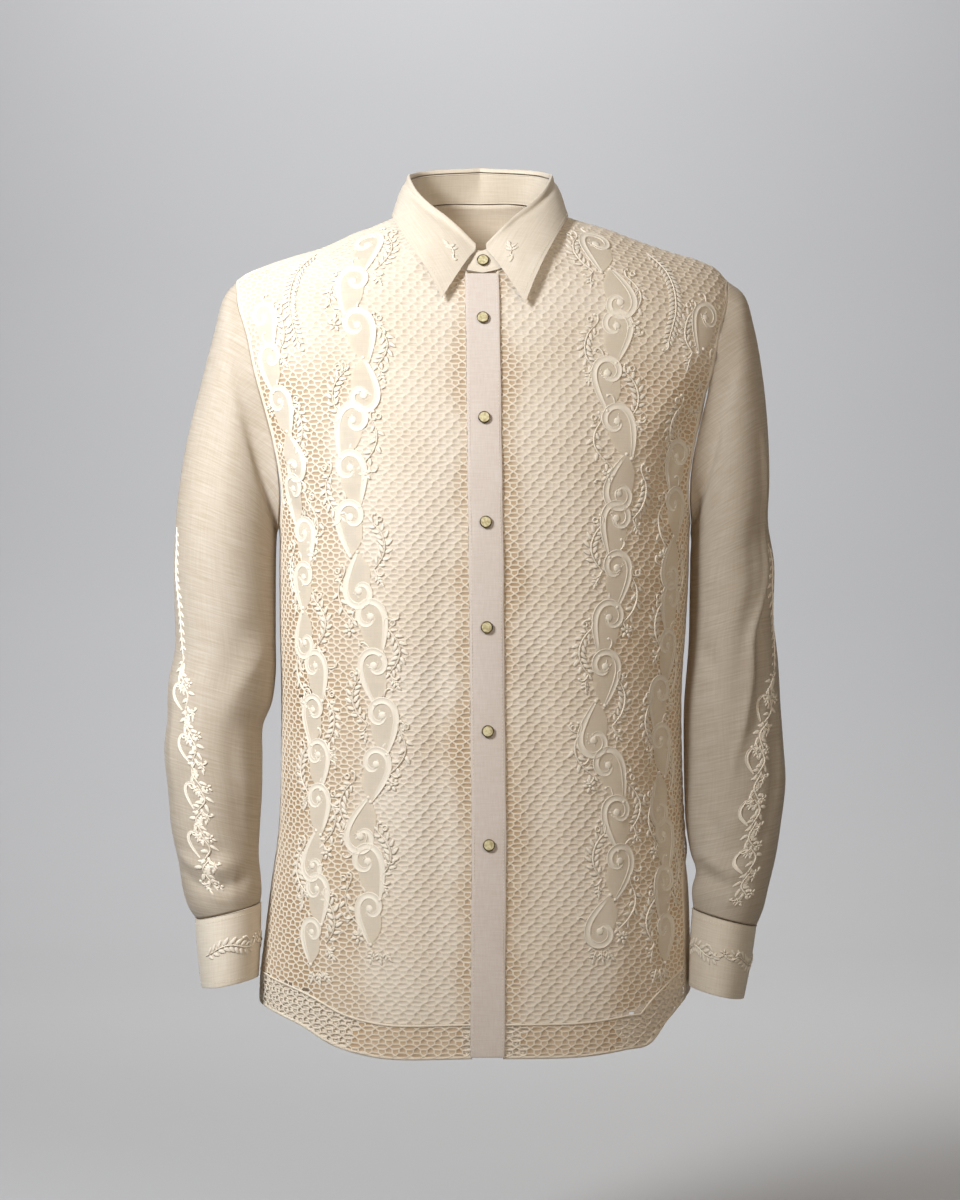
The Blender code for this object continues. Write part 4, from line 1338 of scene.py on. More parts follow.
class Recipe:
    """A material's nodes. Each input is given a value, or another node's output to follow."""

    def __init__(self, name):
        self.material = bpy.data.materials.new(name)
        self.material.use_nodes = True
        self.nodes = self.material.node_tree.nodes
        self.shader = self.nodes["Principled BSDF"]

    def feed(self, node, inputs):
        """Sets a node's inputs, or links them."""
        for name, value in inputs.items():
            if isinstance(value, bpy.types.NodeSocket):
                self.material.node_tree.links.new(value, node.inputs[name])
            else:
                node.inputs[name].default_value = value

    def add(self, kind, inputs, output, **choices):
        """Adds a node and hands back one of its outputs."""
        node = self.nodes.new("ShaderNode" + kind)
        for name, value in choices.items():
            setattr(node, name, value)
        self.feed(node, inputs)
        return node.outputs[output]

    def tone(self, shade, deep, colour, places=(0.0, 1.0)):
        """A colour that goes from deep to light with a shade."""
        made = self.add("ValToRGB", {"Fac": shade}, "Color")
        for element, place, value in zip(made.node.color_ramp.elements, places, (deep, colour)):
            element.position, element.color = place, (*value, 1.0)
        return made

    def bumped(self, height, strength, distance):
        """Raises the shader's surface by a shade."""
        bump = {"Strength": strength, "Distance": distance, "Height": height}
        return self.add("Bump", bump, "Normal")


def cloth_finish(name, colour, deep, threads):
    """A woven finish: slubs along and across the threads, a faint stain, light that comes through, and
    painted tan shade where threads are drawn.
    """
    made = Recipe(name)
    cut = made.add("UVMap", {}, "UV", uv_map="cut")
    slubs = []
    for scale in ((threads["long"], threads["fine"]), (threads["fine"], threads["long"] * 1.3)):
        stretched = made.add("Mapping", {"Scale": (*scale, 1.0), "Vector": cut}, "Vector")
        noise_inputs = {"Scale": 1.0, "Detail": 4.0, "Roughness": 0.62, "Vector": stretched}
        slubs.append(made.add("TexNoise", noise_inputs, "Fac"))
    weave_inputs = {"Factor": threads["warp"], "A": slubs[0], "B": slubs[1]}
    weave = made.add("Mix", weave_inputs, "Result", data_type="FLOAT")
    spread = threads["spread"]
    tone = made.tone(weave, deep, colour, (0.5 - spread, 0.5 + spread))
    place = made.add("TexCoord", {}, "Object")
    cloud = {"Scale": threads.get("mottle_scale", 9.0), "Detail": 3.0, "Vector": place}
    stained = {"Value": made.add("TexNoise", cloud, "Fac"), "From Min": 0.35, "From Max": 0.75}
    stained = made.add("MapRange", {**stained, "To Min": 0.0, "To Max": threads["mottle"]}, "Result")
    tinted_colour = made.add("Mix", {"Factor": stained, "A": tone, "B": STAIN}, "Result", **MULTIPLIED)
    seen_through = threads.get("sheer")
    if "opening" in threads:
        # The fewer threads are left, the more see-through the cloth, and the more painted tan shade is mixed
        # into its colour
        drawn = made.add("Attribute", {}, "Fac", attribute_name=threads["opening"])
        tinted_colour = made.add("Mix", {"Factor": drawn, "A": tinted_colour, "B": PAINTED_SHADE_BEHIND}, "Result", **MULTIPLIED)
        seen_through = made.add("MapRange", {"To Max": 0.45, "Value": drawn}, "Result")
    normal = made.bumped(weave, threads["bump"], 0.0006)
    look = {"Base Color": tinted_colour, "Normal": normal, "Metallic": 0.0, "Sheen Roughness": 0.45}
    look |= {"Sheen Weight": threads["sheen"], "Roughness": threads.get("roughness", 0.75)}
    made.feed(made.shader, {**look, "Specular IOR Level": threads.get("gloss", 0.3)})
    lit = made.add("BsdfTranslucent", {"Color": tinted_colour, "Normal": normal}, "BSDF")
    shine = made.shader.outputs["BSDF"]
    last = made.add("MixShader", {"Fac": threads["through"], 1: shine, 2: lit}, "Shader")
    if seen_through is not None:
        clear = made.add("BsdfTransparent", {"Color": CLEAR}, "BSDF")
        last = made.add("MixShader", {"Fac": seen_through, 1: last, 2: clear}, "Shader")
    made.feed(made.nodes["Material Output"], {"Surface": last})
    return made.material


MULTIPLIED = {"data_type": "RGBA", "blend_type": "MULTIPLY"}
# What tints the cloth in patches, the painted tan shade mixed in where slits open, and what tints the light
# past it
STAIN = (0.90, 0.84, 0.74, 1.0)
PAINTED_SHADE_BEHIND = (0.80, 0.59, 0.38, 1.0)
CLEAR = (1.0, 0.96, 0.88, 1.0)


def linear(colour):
    """A screen colour as the amounts of light that it stands for."""
    return tuple(c / 12.92 if c <= 0.04045 else ((c + 0.055) / 1.055) ** 2.4 for c in colour)


# The woven finishes: the colour each is made in, slubs per metre along and across the threads, how far the
# second set shows over the first, how even their tone is, and how they take light and let it through
WEAVES = {
    "lattice": dict(
        colour="lattice", long=160, fine=1500, warp=0.5, spread=0.2, bump=0.5, through=0.22, sheen=0.12,
        mottle=0.35,
    ),
    # The ground's colour takes painted tan shade where its threads are drawn, read from the open attribute
    "ground": dict(
        colour="ground", long=90, fine=1500, warp=0.2, spread=0.2, bump=0.4, through=0.3, sheen=0.1,
        opening="open", mottle=0.3,
    ),
    "sheer_patch": dict(
        colour="patch", long=60, fine=1300, warp=0.45, spread=0.24, bump=0.3, through=0.35, sheen=0.1,
        sheer=0.08, mottle=0.25,
    ),
    "satin_thread": dict(
        colour="thread", long=500, fine=1800, warp=0.5, spread=0.2, bump=0.35, through=0.06, sheen=0.1,
        roughness=0.5, gloss=0.25, mottle=0.15,
    ),
    "plain_sleeve": dict(
        colour="cream", long=22, fine=620, warp=0.3, spread=0.16, bump=0.35, through=0.4, sheen=0.12,
        sheer=0.07, mottle=0.3, mottle_scale=6.0, roughness=0.62,
    ),
    "plain_collar": dict(
        colour="collar", long=34, fine=700, warp=0.4, spread=0.16, bump=0.3, through=0.08, sheen=0.12,
        mottle=0.2, roughness=0.7,
    ),
    "rosy_band": dict(
        colour="rosy", long=60, fine=900, warp=0.5, spread=0.18, bump=0.3, through=0.05, sheen=0.12,
        mottle=0.25, roughness=0.72,
    ),
    "plain_back": dict(
        colour="back", long=30, fine=700, warp=0.4, spread=0.18, bump=0.3, through=0.3, sheen=0.1,
        mottle=0.3, sheer=0.04,
    ),
}


@cache
def finish(name):
    """One of the shirt's woven finishes, made once, in the colours that are set."""
    cloth = bpy.context.scene.barong.cloth
    colours = (linear(getattr(cloth, WEAVES[name]["colour"] + ending)) for ending in ("", "_deep"))
    return cloth_finish(name, *colours, WEAVES[name])


def button_finish(name, colour, deep, metallic, roughness, scale):
    """A clouded finish."""
    made = Recipe(name)
    place = made.add("TexCoord", {}, "Object")
    cloud = made.add("TexNoise", {"Scale": scale, "Detail": 5.0, "Vector": place}, "Fac")
    tone = made.tone(cloud, linear(deep), linear(colour), (0.36, 0.62))
    look = {"Base Color": tone, "Normal": made.bumped(cloud, 0.25, 0.0003)}
    made.feed(made.shader, {**look, "Metallic": metallic, "Roughness": roughness})
    return made.material


def paper_finish(colour):
    """The backdrop's even, faintly uneven grey."""
    made = Recipe("pale_backdrop")
    place = made.add("TexCoord", {}, "Object")
    grain = made.add("TexNoise", {"Scale": 1.4, "Vector": place}, "Fac")
    tone = made.tone(grain, [0.97 * part for part in colour], colour)
    made.feed(made.shader, {"Base Color": tone, "Roughness": 0.9})
    return made.material


# ---- Settings ----


def colour_setting(name, description, default):
    """A colour that a user can change."""
    return FloatVectorProperty(
        name=name, description=description, default=default, subtype="COLOR_GAMMA", size=3, min=0.0, max=1.0
    )


def length_setting(name, description, default):
    """A length, in metres, that a user can change."""
    return FloatProperty(
        name=name, description=description, default=default, unit="LENGTH", subtype="DISTANCE", min=0.0
    )


def power_setting(name, description, default):
    """A light's power, in watts, that a user can change."""
    return FloatProperty(name=name, description=description, default=default, unit="POWER", min=0.0)


class BarongCloth(bpy.types.PropertyGroup):
    """Colours and thicknesses of the cloth"""

    lattice: colour_setting("Lattice", "Thread of the openwork", (0.95, 0.92, 0.87))
    lattice_deep: colour_setting("Lattice, deep", "Darker slubs of the openwork thread", (0.87, 0.815, 0.73))
    ground: colour_setting("Ground", "Fine threads left in the slits", (0.935, 0.90, 0.85))
    ground_deep: colour_setting("Ground, deep", "Darker threads left in the slits", (0.87, 0.82, 0.75))
    patch: colour_setting("Patch", "Sheer cloth inside the scrolls", (0.93, 0.895, 0.835))
    patch_deep: colour_setting("Patch, deep", "Darker threads of the sheer cloth", (0.87, 0.825, 0.75))
    thread: colour_setting("Needlework", "Raised embroidery thread", (0.905, 0.872, 0.815))
    thread_deep: colour_setting("Needlework, deep", "Darker strands of the thread", (0.86, 0.818, 0.75))
    cream: colour_setting("Sleeves", "Plain cream cloth", (0.865, 0.832, 0.785))
    cream_deep: colour_setting("Sleeves, deep", "Slubs of the plain cream cloth", (0.78, 0.725, 0.645))
    collar: colour_setting("Collar and cuffs", "Plain cream cloth, doubled", (0.86, 0.82, 0.76))
    collar_deep: colour_setting("Collar, deep", "Slubs of the doubled cloth", (0.80, 0.75, 0.675))
    rosy: colour_setting("Band", "Rosy beige of the front band", (0.825, 0.785, 0.755))
    rosy_deep: colour_setting("Band, deep", "Darker threads of the band", (0.765, 0.71, 0.67))
    back: colour_setting("Back", "Plain back cloth", (0.95, 0.915, 0.86))
    back_deep: colour_setting("Back, deep", "Slubs of the back cloth", (0.88, 0.825, 0.75))
    cloth_thickness: length_setting("Cloth", "Thickness of single cloth", 0.0006)
    doubled_thickness: length_setting("Doubled cloth", "Thickness of the collar and the cuffs", 0.0012)
    band_thickness: length_setting("Band cloth", "Thickness of the front bands", 0.0011)


class BarongOpenwork(bpy.types.PropertyGroup):
    """Sizes of the drawn-thread lattice"""

    pitch: length_setting("Pitch", "From one crossing to the next in a row", 0.0127)
    rise: length_setting("Rise", "From one row of crossings to the next", 0.0078)
    slit: length_setting("Slit", "Height of a slit before its threads", 0.0044)
    thread: length_setting("Thread", "Width of the bundled threads", 0.0014)
    cord: length_setting("Cord", "How far the corded diagonals stand out", 0.0010)
    cross: length_setting("Crossing", "How far the other diagonals stand out", 0.0003)
    uneven: length_setting("Unevenness", "How far threads wander", 0.0003)


class BarongNeedlework(bpy.types.PropertyGroup):
    """Sizes of the embroidery"""

    band: length_setting("Scroll band", "Width of a scroll's band", 0.0062)
    relief: length_setting("Relief", "Height of a scroll's corded edge", 0.0012)
    cord: length_setting("Cord", "Width of stems and curls", 0.0015)
    leaf_length: length_setting("Leaf length", "Length of a satin leaf", 0.0082)
    leaf_width: length_setting("Leaf width", "Width of a satin leaf", 0.0040)
    leaf_relief: length_setting("Leaf relief", "Height of a satin leaf", 0.0006)
    scroll_pitch: length_setting("Scroll pitch", "From one scroll to the next", 0.044)


class BarongStage(bpy.types.PropertyGroup):
    """Light and view"""

    key: power_setting("Key light", "Power of the spot from the wearer's right", 410.0)
    fill: power_setting("Fill light", "Power of the weak light from the wearer's left", 22.0)
    wall: power_setting("Wall light", "Power of the light on the wall", 92.0)
    back: power_setting("Back light", "Power of the light behind", 40.0)
    room: FloatProperty(name="Room light", description="Strength of the light all round", default=0.075)
    view_distance: length_setting("View distance", "From the camera to the shirt's middle", 3.2)
    view_height: FloatProperty(
        name="View height", description="Height of the camera", default=-0.3543, unit="LENGTH"
    )
    lens: FloatProperty(name="Lens", description="Focal length on a 36 mm frame", default=103.2)
    floor: colour_setting("Floor", "Pale floor and backdrop", (0.72, 0.72, 0.725))


class BarongSettings(bpy.types.PropertyGroup):
    """All the sizes and colours of the shirt"""

    cloth: PointerProperty(type=BarongCloth)
    openwork: PointerProperty(type=BarongOpenwork)
    needlework: PointerProperty(type=BarongNeedlework)
    stage: PointerProperty(type=BarongStage)


# ---- Pieces ----

CREAM_SLOT, BEIGE_SLOT, OPEN_SLOT, BUTTON_SLOT = "plain_cream", "plain_beige", "openwork_fronts", "buttons"
# Without a seed of its own, the threads' unevenness would change from run to run
THREAD_SEED = 7
# The turned-up hem: its height, how far behind the front it lies, and how far its slits are off the front's
HEM_TURN_UP = 29.0
TURN_UP_BEHIND = 2.0
TURN_UP_SHIFT = (3.1, 2.6)
# The height below which the rows of the back ease into the hem's line
HEM_EASES_FROM = -640.0


class BARONG_OT_fronts(bpy.types.Operator):
    """Make the two openwork fronts, with their sheer patches, turned-up hems and bound edges"""

    bl_idname = "barong.fronts"
    bl_label = "Openwork fronts"

    def execute(self, context):
        settings = context.scene.barong
        lay = body_lay(False)
        noise.seed_set(THREAD_SEED)
        for side in (-1, 1):
            name = "front_" + WORN_ON[side]
            outline = front_outline(side)
            (inner_spine, inner), (_, outer) = front_design(side, settings.needlework.scroll_pitch)
            hull = inner_hull(outline)
            held = [patch for patch in map(patch_of, inner + outer) if inside(patch, hull).all()]
            openness = openness_of(outline, inner_spine)
            shape = openwork(outline, held, settings.openwork, 1 + side, openness)
            faced_up(shape)
            net = keep(name + "_openwork", shape, lay, [finish("lattice"), finish("ground")])
            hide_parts(name)
            patches = keep(name + "_patches", patch_cloth(held), lay, [finish("sheer_patch")])
            folded = turn_up(outline, side)
            shape = openwork(folded, [], settings.openwork, 4 + side, nearly_closed, TURN_UP_SHIFT)
            faced_up(shape)
            for vert in shape.verts:
                vert.co.z -= TURN_UP_BEHIND
            hem = keep(name + "_turn_up", shape, lay, [finish("lattice"), finish("ground")])
            edges = keep(name + "_edges", bound_edges(outline, side), lay, [finish("lattice")])
        return {"FINISHED"}


def nearly_closed(places):
    """The turned-up hem's openness: few of its threads are drawn."""
    return np.full(len(places), 0.1)


def openness_of(outline, inner_spine):
    """How open a front is at flat places: most at its side and beside the band, least over the chest; the
    ground's painted tan shade follows it.
    """
    spine = inner_spine[np.argsort(inner_spine[:, 1])]
    hem = edge_of(outline, "hem")
    hem = hem[np.argsort(hem[:, 0])]

    def openness(places):
        away = np.abs(places[:, 0])
        past = away - np.interp(places[:, 1], spine[:, 1], np.abs(spine[:, 0]))
        drift = np.array([noise.noise(Vector((x * 0.02, y * 0.02, 3.0))) for x, y in places])
        outer = 0.5 * ease((past + 10.0 * drift) / 30.0) + 0.25 * ease((past - 45.0) / 30.0)
        outer *= 1 - 0.8 * ease((places[:, 1] - 90.0) / 60.0)
        beside_band = 0.55 * ease((36.0 + 14.0 * drift - away) / 18.0)
        above = places[:, 1] - np.interp(places[:, 0], hem[:, 0], hem[:, 1])
        turned = 0.45 * ease((HEM_TURN_UP + 1.0 - above) / 2.0)
        return np.clip(0.06 + 0.2 * drift + outer + beside_band + turned, 0.0, 1.0)

    return openness


def faced_up(shape):
    """Turns flat faces to look out of the cloth."""
    shape.normal_update()
    bmesh.ops.reverse_faces(shape, faces=[face for face in shape.faces if face.normal.z < 0])


def patch_cloth(patches):
    """The plain sheer cloth inside each scroll."""
    shape = bmesh.new()
    for number, patch in enumerate(patches):
        one = bmesh.new()
        low, high = patch.min(axis=0) - 3, patch.max(axis=0) + 3
        size = high - low
        bmesh.ops.create_grid(one, x_segments=int(size[0] / 2.4), y_segments=int(size[1] / 2.4), size=1.0)
        for vert in one.verts:
            vert.co.x = low[0] + (vert.co.x + 1) / 2 * size[0]
            vert.co.y = low[1] + (vert.co.y + 1) / 2 * size[1]
            # Patches that overlap lie one over the other
            vert.co.z = 0.9 + 0.14 * (number % 3)
        cut_to(one, patch, 0.6)
        mesh = bpy.data.meshes.new("patch")
        one.to_mesh(mesh)
        one.free()
        shape.from_mesh(mesh)
        bpy.data.meshes.remove(mesh)
    faced_up(shape)
    return shape


def turn_up(outline, side):
    """The hem's turned-up band, flat, behind the foot of a front."""
    hem = edge_of(outline, "hem")
    upper = hem - side * HEM_TURN_UP * asides(hem)
    return np.concatenate([hem, upper[::-1]])


def bound_edges(outline, side):
    """Narrow bound edges along a front's seams and hem."""
    shape = bmesh.new()
    for name, half_width, high, lift in (
        ("neck", 1.6, 0.9, 0.1),
        ("shoulder", 1.8, 1.0, 0.1),
        ("armhole", 2.6, 1.1, 0.1),
        ("side", 2.2, 0.9, 0.0),
        ("hem", 1.5, 0.9, -0.4),
    ):
        rolled(shape, spaced(edge_of(outline, name), 3.0), half_width, high, 0.6, lift)
    upper = spaced(turn_up(outline, side)[::-1][: len(edge_of(outline, "hem"))], 3.0)
    strip(shape, upper, 1.0, [(a, h * 0.9) for a, h in CORD], 0.6)
    closed_up(shape)
    return shape


def closed_up(shape, gap=0.02):
    """Joins edges that lie within a gap of each other and turns the faces outward."""
    bmesh.ops.remove_doubles(shape, verts=shape.verts, dist=gap)
    bmesh.ops.recalc_face_normals(shape, faces=shape.faces)


class BARONG_OT_needlework(bpy.types.Operator):
    """Work the raised embroidery on the fronts, the sleeves, the cuffs and the collar's points"""

    bl_idname = "barong.needlework"
    bl_label = "Needlework"

    def execute(self, context):
        sizes = context.scene.barong.needlework
        for side in (-1, 1):
            for name, stitch, lay, slot in (
                ("front_", stitch_front, body_lay(False), OPEN_SLOT),
                ("sleeve_", stitch_sleeve, sleeve_lay(side), CREAM_SLOT),
                ("cuff_", stitch_cuff, cuff_lay(side), CREAM_SLOT),
            ):
                self.keep_work(name + WORN_ON[side] + "_needlework", stitch(side, sizes), lay, slot)
        self.keep_work("collar_needlework", stitch_collar(sizes), fall_lay(), CREAM_SLOT)
        return {"FINISHED"}

    def keep_work(self, name, shape, lay, slot):
        """Lays one piece of needlework on its form."""
        keep(name, shape, lay, [finish("satin_thread")])


# The needlework of a sleeve, down its front: (height, share of the way in from the outer edge)
SLEEVE_STRIP = {
    -1: ((-285, 0.035), (-340, 0.06), (-400, 0.12), (-450, 0.24), (-510, 0.38), (-560, 0.39), (-622, 0.42)),
    1: (
        (-300, 0.03), (-350, 0.035), (-400, 0.05), (-440, 0.12), (-480, 0.24), (-530, 0.32), (-600, 0.34),
        (-632, 0.36),
    ),
}


def stitch_sleeve(side, sizes):
    """A running spray down a sleeve: leafy stems above, small scrolls and flowers towards the cuff."""
    work = Needlework(sizes, None, 0.4)
    lay = sleeve_lay(side)
    path = spaced([sleeve_spot(lay, side, z, share)[:2] for z, share in SLEEVE_STRIP[side]], 1.6)
    length = along(path, 0)[2]
    draw = np.random.RandomState(31 if side < 0 else 32)
    half = sizes.band / MM / 2 * 0.5
    upper = path[: int(0.36 * len(path))]
    wave = 1.6 * np.sin(np.arange(len(upper)) / 6.0)
    work.vine(upper + np.stack([wave, np.zeros(len(upper))], axis=-1), 9.0)
    for number, start in enumerate(np.arange(0.36 * length, length - 14, 23)):
        spot, way, _ = along(path, start)
        end = along(path, start + 24)[0]
        hand = 1 if number % 2 else -1
        across = polar(way + math.pi / 2, hand)
        bow = (spot + end) / 2 + across * 4.5
        work.vine(spaced([spot - across * 2.0, bow, end - across * 2.0], 1.5), 7.2, number % 3 != 1)
        if number % 2:
            scroll = set_between(bent(40.0, SCROLL_BEND, 1.2), end - across * 6.0, spot - across * 8.0, hand)
            work.band(scroll, half)
            work.curl(spot - across * 4.0, way + math.pi + hand * 0.6, 9.0, hand)
        else:
            fan = way + math.pi * 0.5 * (1 - hand) - hand * 1.57
            for turn in (-0.9, -0.3, 0.3, 0.9):
                work.leaf(bow - across * 6.0, fan + turn, 7.0, 3.0)
            work.flower(end - across * 7.0, 3.8, draw.uniform(0, 1))
        work.sprig(end + across * 6.5, way - hand * 0.4, 0.85)
        work.curl(end + across * 2.0, way + hand * 1.0, 10.0, -hand)
    return work.heap.whole()


# How far each way the needlework of a cuff reaches from the middle of the cuff's front
CUFF_STRIP_REACH = 58.0


def stitch_cuff(side, sizes):
    """A waving leafy stem round the front of a cuff."""
    lay = cuff_lay(side)
    work = Needlework(sizes, None, 0.9)
    angle_share = ((90 - CUFF_OPENING) % 360) / (360 + CUFF_LAP) * 2 - 1
    middle = lay.flat(0.52, -angle_share)[0][:2]
    reach = np.linspace(-CUFF_STRIP_REACH, CUFF_STRIP_REACH, 80)
    wave = np.stack([middle[0] + reach, middle[1] + 3.0 * np.sin(reach / 7.4)], axis=-1)
    work.vine(spaced(wave[:34], 1.4), 6.0)
    work.vine(spaced(wave[46:][::-1], 1.4), 6.0)
    for hand in (-1, 1):
        spot = middle + (hand * 7.0, -1.5)
        scroll = set_between(bent(26.0, SCROLL_BEND, 1.0), spot + (hand * 6, 4), spot + (-hand * 5, 3), hand)
        work.cord(scroll, 0.8)
        work.curl(middle + (hand * 11.0, 3.0), math.pi / 2 - hand * 0.6, 9.0, hand)
    work.flower(middle + (0, 3.5), 3.6)
    return work.heap.whole()


# Where a sprig sits on each leaf of the collar
COLLAR_SPRIGS = ((-29.0, -79.0, -38.0), (25.5, -80.0, -39.0))


def stitch_collar(sizes):
    """A small leafy sprig on each leaf of the collar."""
    lay = fall_lay()
    work = Needlework(sizes, None, 0.75)
    for point in COLLAR_SPRIGS:
        row, column = lay.nearest(point)
        spot = np.array([lay.across[column], lay.ups[row]])
        hand = -1 if point[0] < 0 else 1
        way = math.pi / 2 - hand * 1.35
        foot = spot - polar(way, 5.0)
        work.sprig(foot, way, 1.3)
        work.curl(foot, way + math.pi + hand * 0.5, 8.0, hand)
        for aside in (-2.2, 2.2):
            work.leaf(foot, way + aside, 4.2, 2.0)
    return work.heap.whole()


class BARONG_OT_back(bpy.types.Operator):
    """Make the plain back"""

    bl_idname = "barong.back"
    bl_label = "Plain back"

    def execute(self, context):
        cloth, lay = context.scene.barong.cloth, body_lay(True)
        shape = bmesh.new()
        panel(shape, 96, 200, back_places)
        back = wall(keep("back_cloth", shape, lay, [finish("plain_back")]), cloth.cloth_thickness)
        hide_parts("back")
        return {"FINISHED"}


def back_places(across, up):
    """Flat places of the back from its shares across and up, between its seams."""
    lay = body_lay(True)
    bottom, top = HEM_LOWEST, NECK_BACK - 0.5
    heights = bottom + (top - bottom) * up
    rows = {}
    for height in np.unique(heights):
        ends = []
        for side in (1, -1):
            outer = outer_turn(side, height, True)
            if height > NECK_SIDE:
                outer = 180 - float(turn_at(side, height, neck_reach(height, True)))
            ends.append(side * -(180 - outer))
        rows[height] = ends
    first, last = np.array([rows[height] for height in heights]).T
    stations = first + (last - first) * across
    side = np.where(stations < 0, 1, -1)
    hem = hem_height(side, 180 - np.abs(stations))
    share = np.clip((HEM_EASES_FROM - heights) / (HEM_EASES_FROM - HEM_LOWEST), 0, 1)
    dropped = HEM_EASES_FROM + (hem - HEM_EASES_FROM) * share
    heights = np.where(heights < HEM_EASES_FROM, dropped, heights)
    return lay.flat(heights, stations)


class BARONG_OT_bands(bpy.types.Operator):
    """Make the rosy front band and the plain band under it"""

    bl_idname = "barong.bands"
    bl_label = "Front bands"

    def execute(self, context):
        lay = body_lay(False)
        top, foot = (lay.flat(z, 0.0)[0][1] for z in (NECK_FRONT - SEAM_GAP, HEM_MIDDLE))
        for name, width, off in (
            ("placket", PLACKET_WIDTH, LAYER_STEP),
            ("under_placket", UNDER_PLACKET_WIDTH, 0.0),
        ):

            def band_places(across, up, width=width, off=off):
                aside = across - 0.5
                y = foot + (top - foot) * up
                ripple = 0.35 * np.sin(y / 21.0 + 2 * np.sin(y / 57.0)) * (np.abs(aside) * 2) ** 2
                edge = 0.18 * np.sin(y / 13.0) * np.sign(aside) * (np.abs(aside) > 0.49)
                return np.stack([aside * width + edge, y, off + ripple * (off > 0)], axis=-1)

            shape = bmesh.new()
            panel(shape, 12, 260, band_places)
            band = keep(name + "_cloth", shape, lay, [finish("rosy_band")])
            rounded(wall(band, context.scene.barong.cloth.band_thickness))
            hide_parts(name)
        return {"FINISHED"}


def doubled_cloth(name, lay, columns, rows):
    """A piece of the collar's doubled cloth, over the whole of a lay."""
    shape = bmesh.new()
    panel(shape, columns, rows, lambda across, up: lay.flat(up, across * 2 - 1))
    piece = keep(name + "_cloth", shape, lay, [finish("plain_collar")])
    rounded(wall(piece, bpy.context.scene.barong.cloth.doubled_thickness))
    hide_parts(name)
    return piece


class BARONG_OT_collar(bpy.types.Operator):
    """Make the collar's stand and fall"""

    bl_idname = "barong.collar"
    bl_label = "Collar"

    def execute(self, context):
        for name, lay, columns, rows in (
            ("collar_stand", stand_lay(), 220, 10),
            ("collar_fall", fall_lay(), 240, 44),
        ):
            piece = doubled_cloth(name, lay, columns, rows)
        return {"FINISHED"}


class BARONG_OT_sleeves(bpy.types.Operator):
    """Make the two plain sleeves"""

    bl_idname = "barong.sleeves"
    bl_label = "Sleeves"

    def execute(self, context):
        for side in (-1, 1):
            name = "sleeve_" + WORN_ON[side]
            lay = sleeve_lay(side)
            shape = bmesh.new()
            panel(shape, 108, 210, lambda across, up, lay=lay: lay.flat(up - 1, across * 360 - 180))
            sleeve = keep(name + "_cloth", shape, lay, [finish("plain_sleeve")], True)
            wall(sleeve, context.scene.barong.cloth.cloth_thickness)
            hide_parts(name)
            wide = float(np.ptp(lay.flat(0.0, [-180, 180])[:, 0])) * MM
            long = float(np.ptp(lay.flat([-1, 0], 0)[:, 1])) * MM
        return {"FINISHED"}


class BARONG_OT_cuffs(bpy.types.Operator):
    """Make the two cuffs"""

    bl_idname = "barong.cuffs"
    bl_label = "Cuffs"

    def execute(self, context):
        for side in (-1, 1):
            lay = cuff_lay(side)
            cuff = doubled_cloth("cuff_" + WORN_ON[side], lay, 170, 26)
        return {"FINISHED"}


# A button's section from the middle of its back to the middle of its face, over a diameter of 11:
# (reach, height)
BUTTON_BACK = ((0.0, 0.15), (3.4, 0.0), (4.6, 0.25), (5.1, 0.8))
BUTTON_RIM = ((5.1, 0.8), (5.5, 1.35), (5.46, 1.95), (5.1, 2.42), (4.7, 2.55), (4.45, 2.42))
BUTTON_FACE = ((4.45, 2.42), (4.2, 2.5), (3.4, 2.56), (1.8, 2.6), (0.0, 2.6))


class BARONG_OT_buttons(bpy.types.Operator):
    """Make the buttons, each set a little off the cloth"""

    bl_idname = "barong.buttons"
    bl_label = "Buttons"

    def execute(self, context):
        face = button_finish("button_face", (0.83, 0.79, 0.64), (0.66, 0.61, 0.45), 0.0, 0.25, 420.0)
        rim = button_finish("button_rim", (0.50, 0.45, 0.32), (0.24, 0.21, 0.14), 0.75, 0.32, 300.0)
        lay = body_lay(False)
        seats = []
        for number, height in enumerate(BUTTON_HEIGHTS, 1):
            flat = lay.flat(height, 0.0)
            out = lay.out(flat)[0]
            seat = lay.at(flat)[0] + out * (LAYER_STEP + WALL / 2)
            seats.append((f"button_{number}", seat, out, BUTTON_DIAMETER))
        seats.append(neck_button_seat())
        seats += [cuff_button_seat(side) for side in (-1, 1)]
        for name, seat, out, diameter in seats:
            shape = bmesh.new()
            for profile, finish_index in ((BUTTON_BACK, 1), (BUTTON_RIM, 1), (BUTTON_FACE, 0)):
                turned(shape, profile, 28, finish_index)
            closed_up(shape, 0.01)
            scale = diameter / BUTTON_DIAMETER
            put = Matrix.Translation(Vector(seat + out * BUTTON_CLEARANCE))
            put @= Vector(out).to_track_quat("Z", "Y").to_matrix().to_4x4()
            put @= Matrix.Diagonal((scale, scale, scale, 1))
            bmesh.ops.transform(shape, matrix=put, verts=shape.verts)
            button = keep(name + "_disc", shape, None, [face, rim])
            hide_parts(name)
        return {"FINISHED"}


def turned(shape, profile, sides, finish_index):
    """Turns a section round the upright axis."""
    verts = [shape.verts.new((reach, 0.0, height)) for reach, height in profile]
    edges = [shape.edges.new(pair) for pair in zip(verts, verts[1:])]
    before = set(shape.faces)
    bmesh.ops.spin(
        shape, geom=verts + edges, cent=(0, 0, 0), axis=(0, 0, 1), dvec=(0, 0, 0), angle=2 * math.pi,
        steps=sides, use_merge=True,
    )
    for face in shape.faces:
        if face not in before:
            face.material_index = finish_index


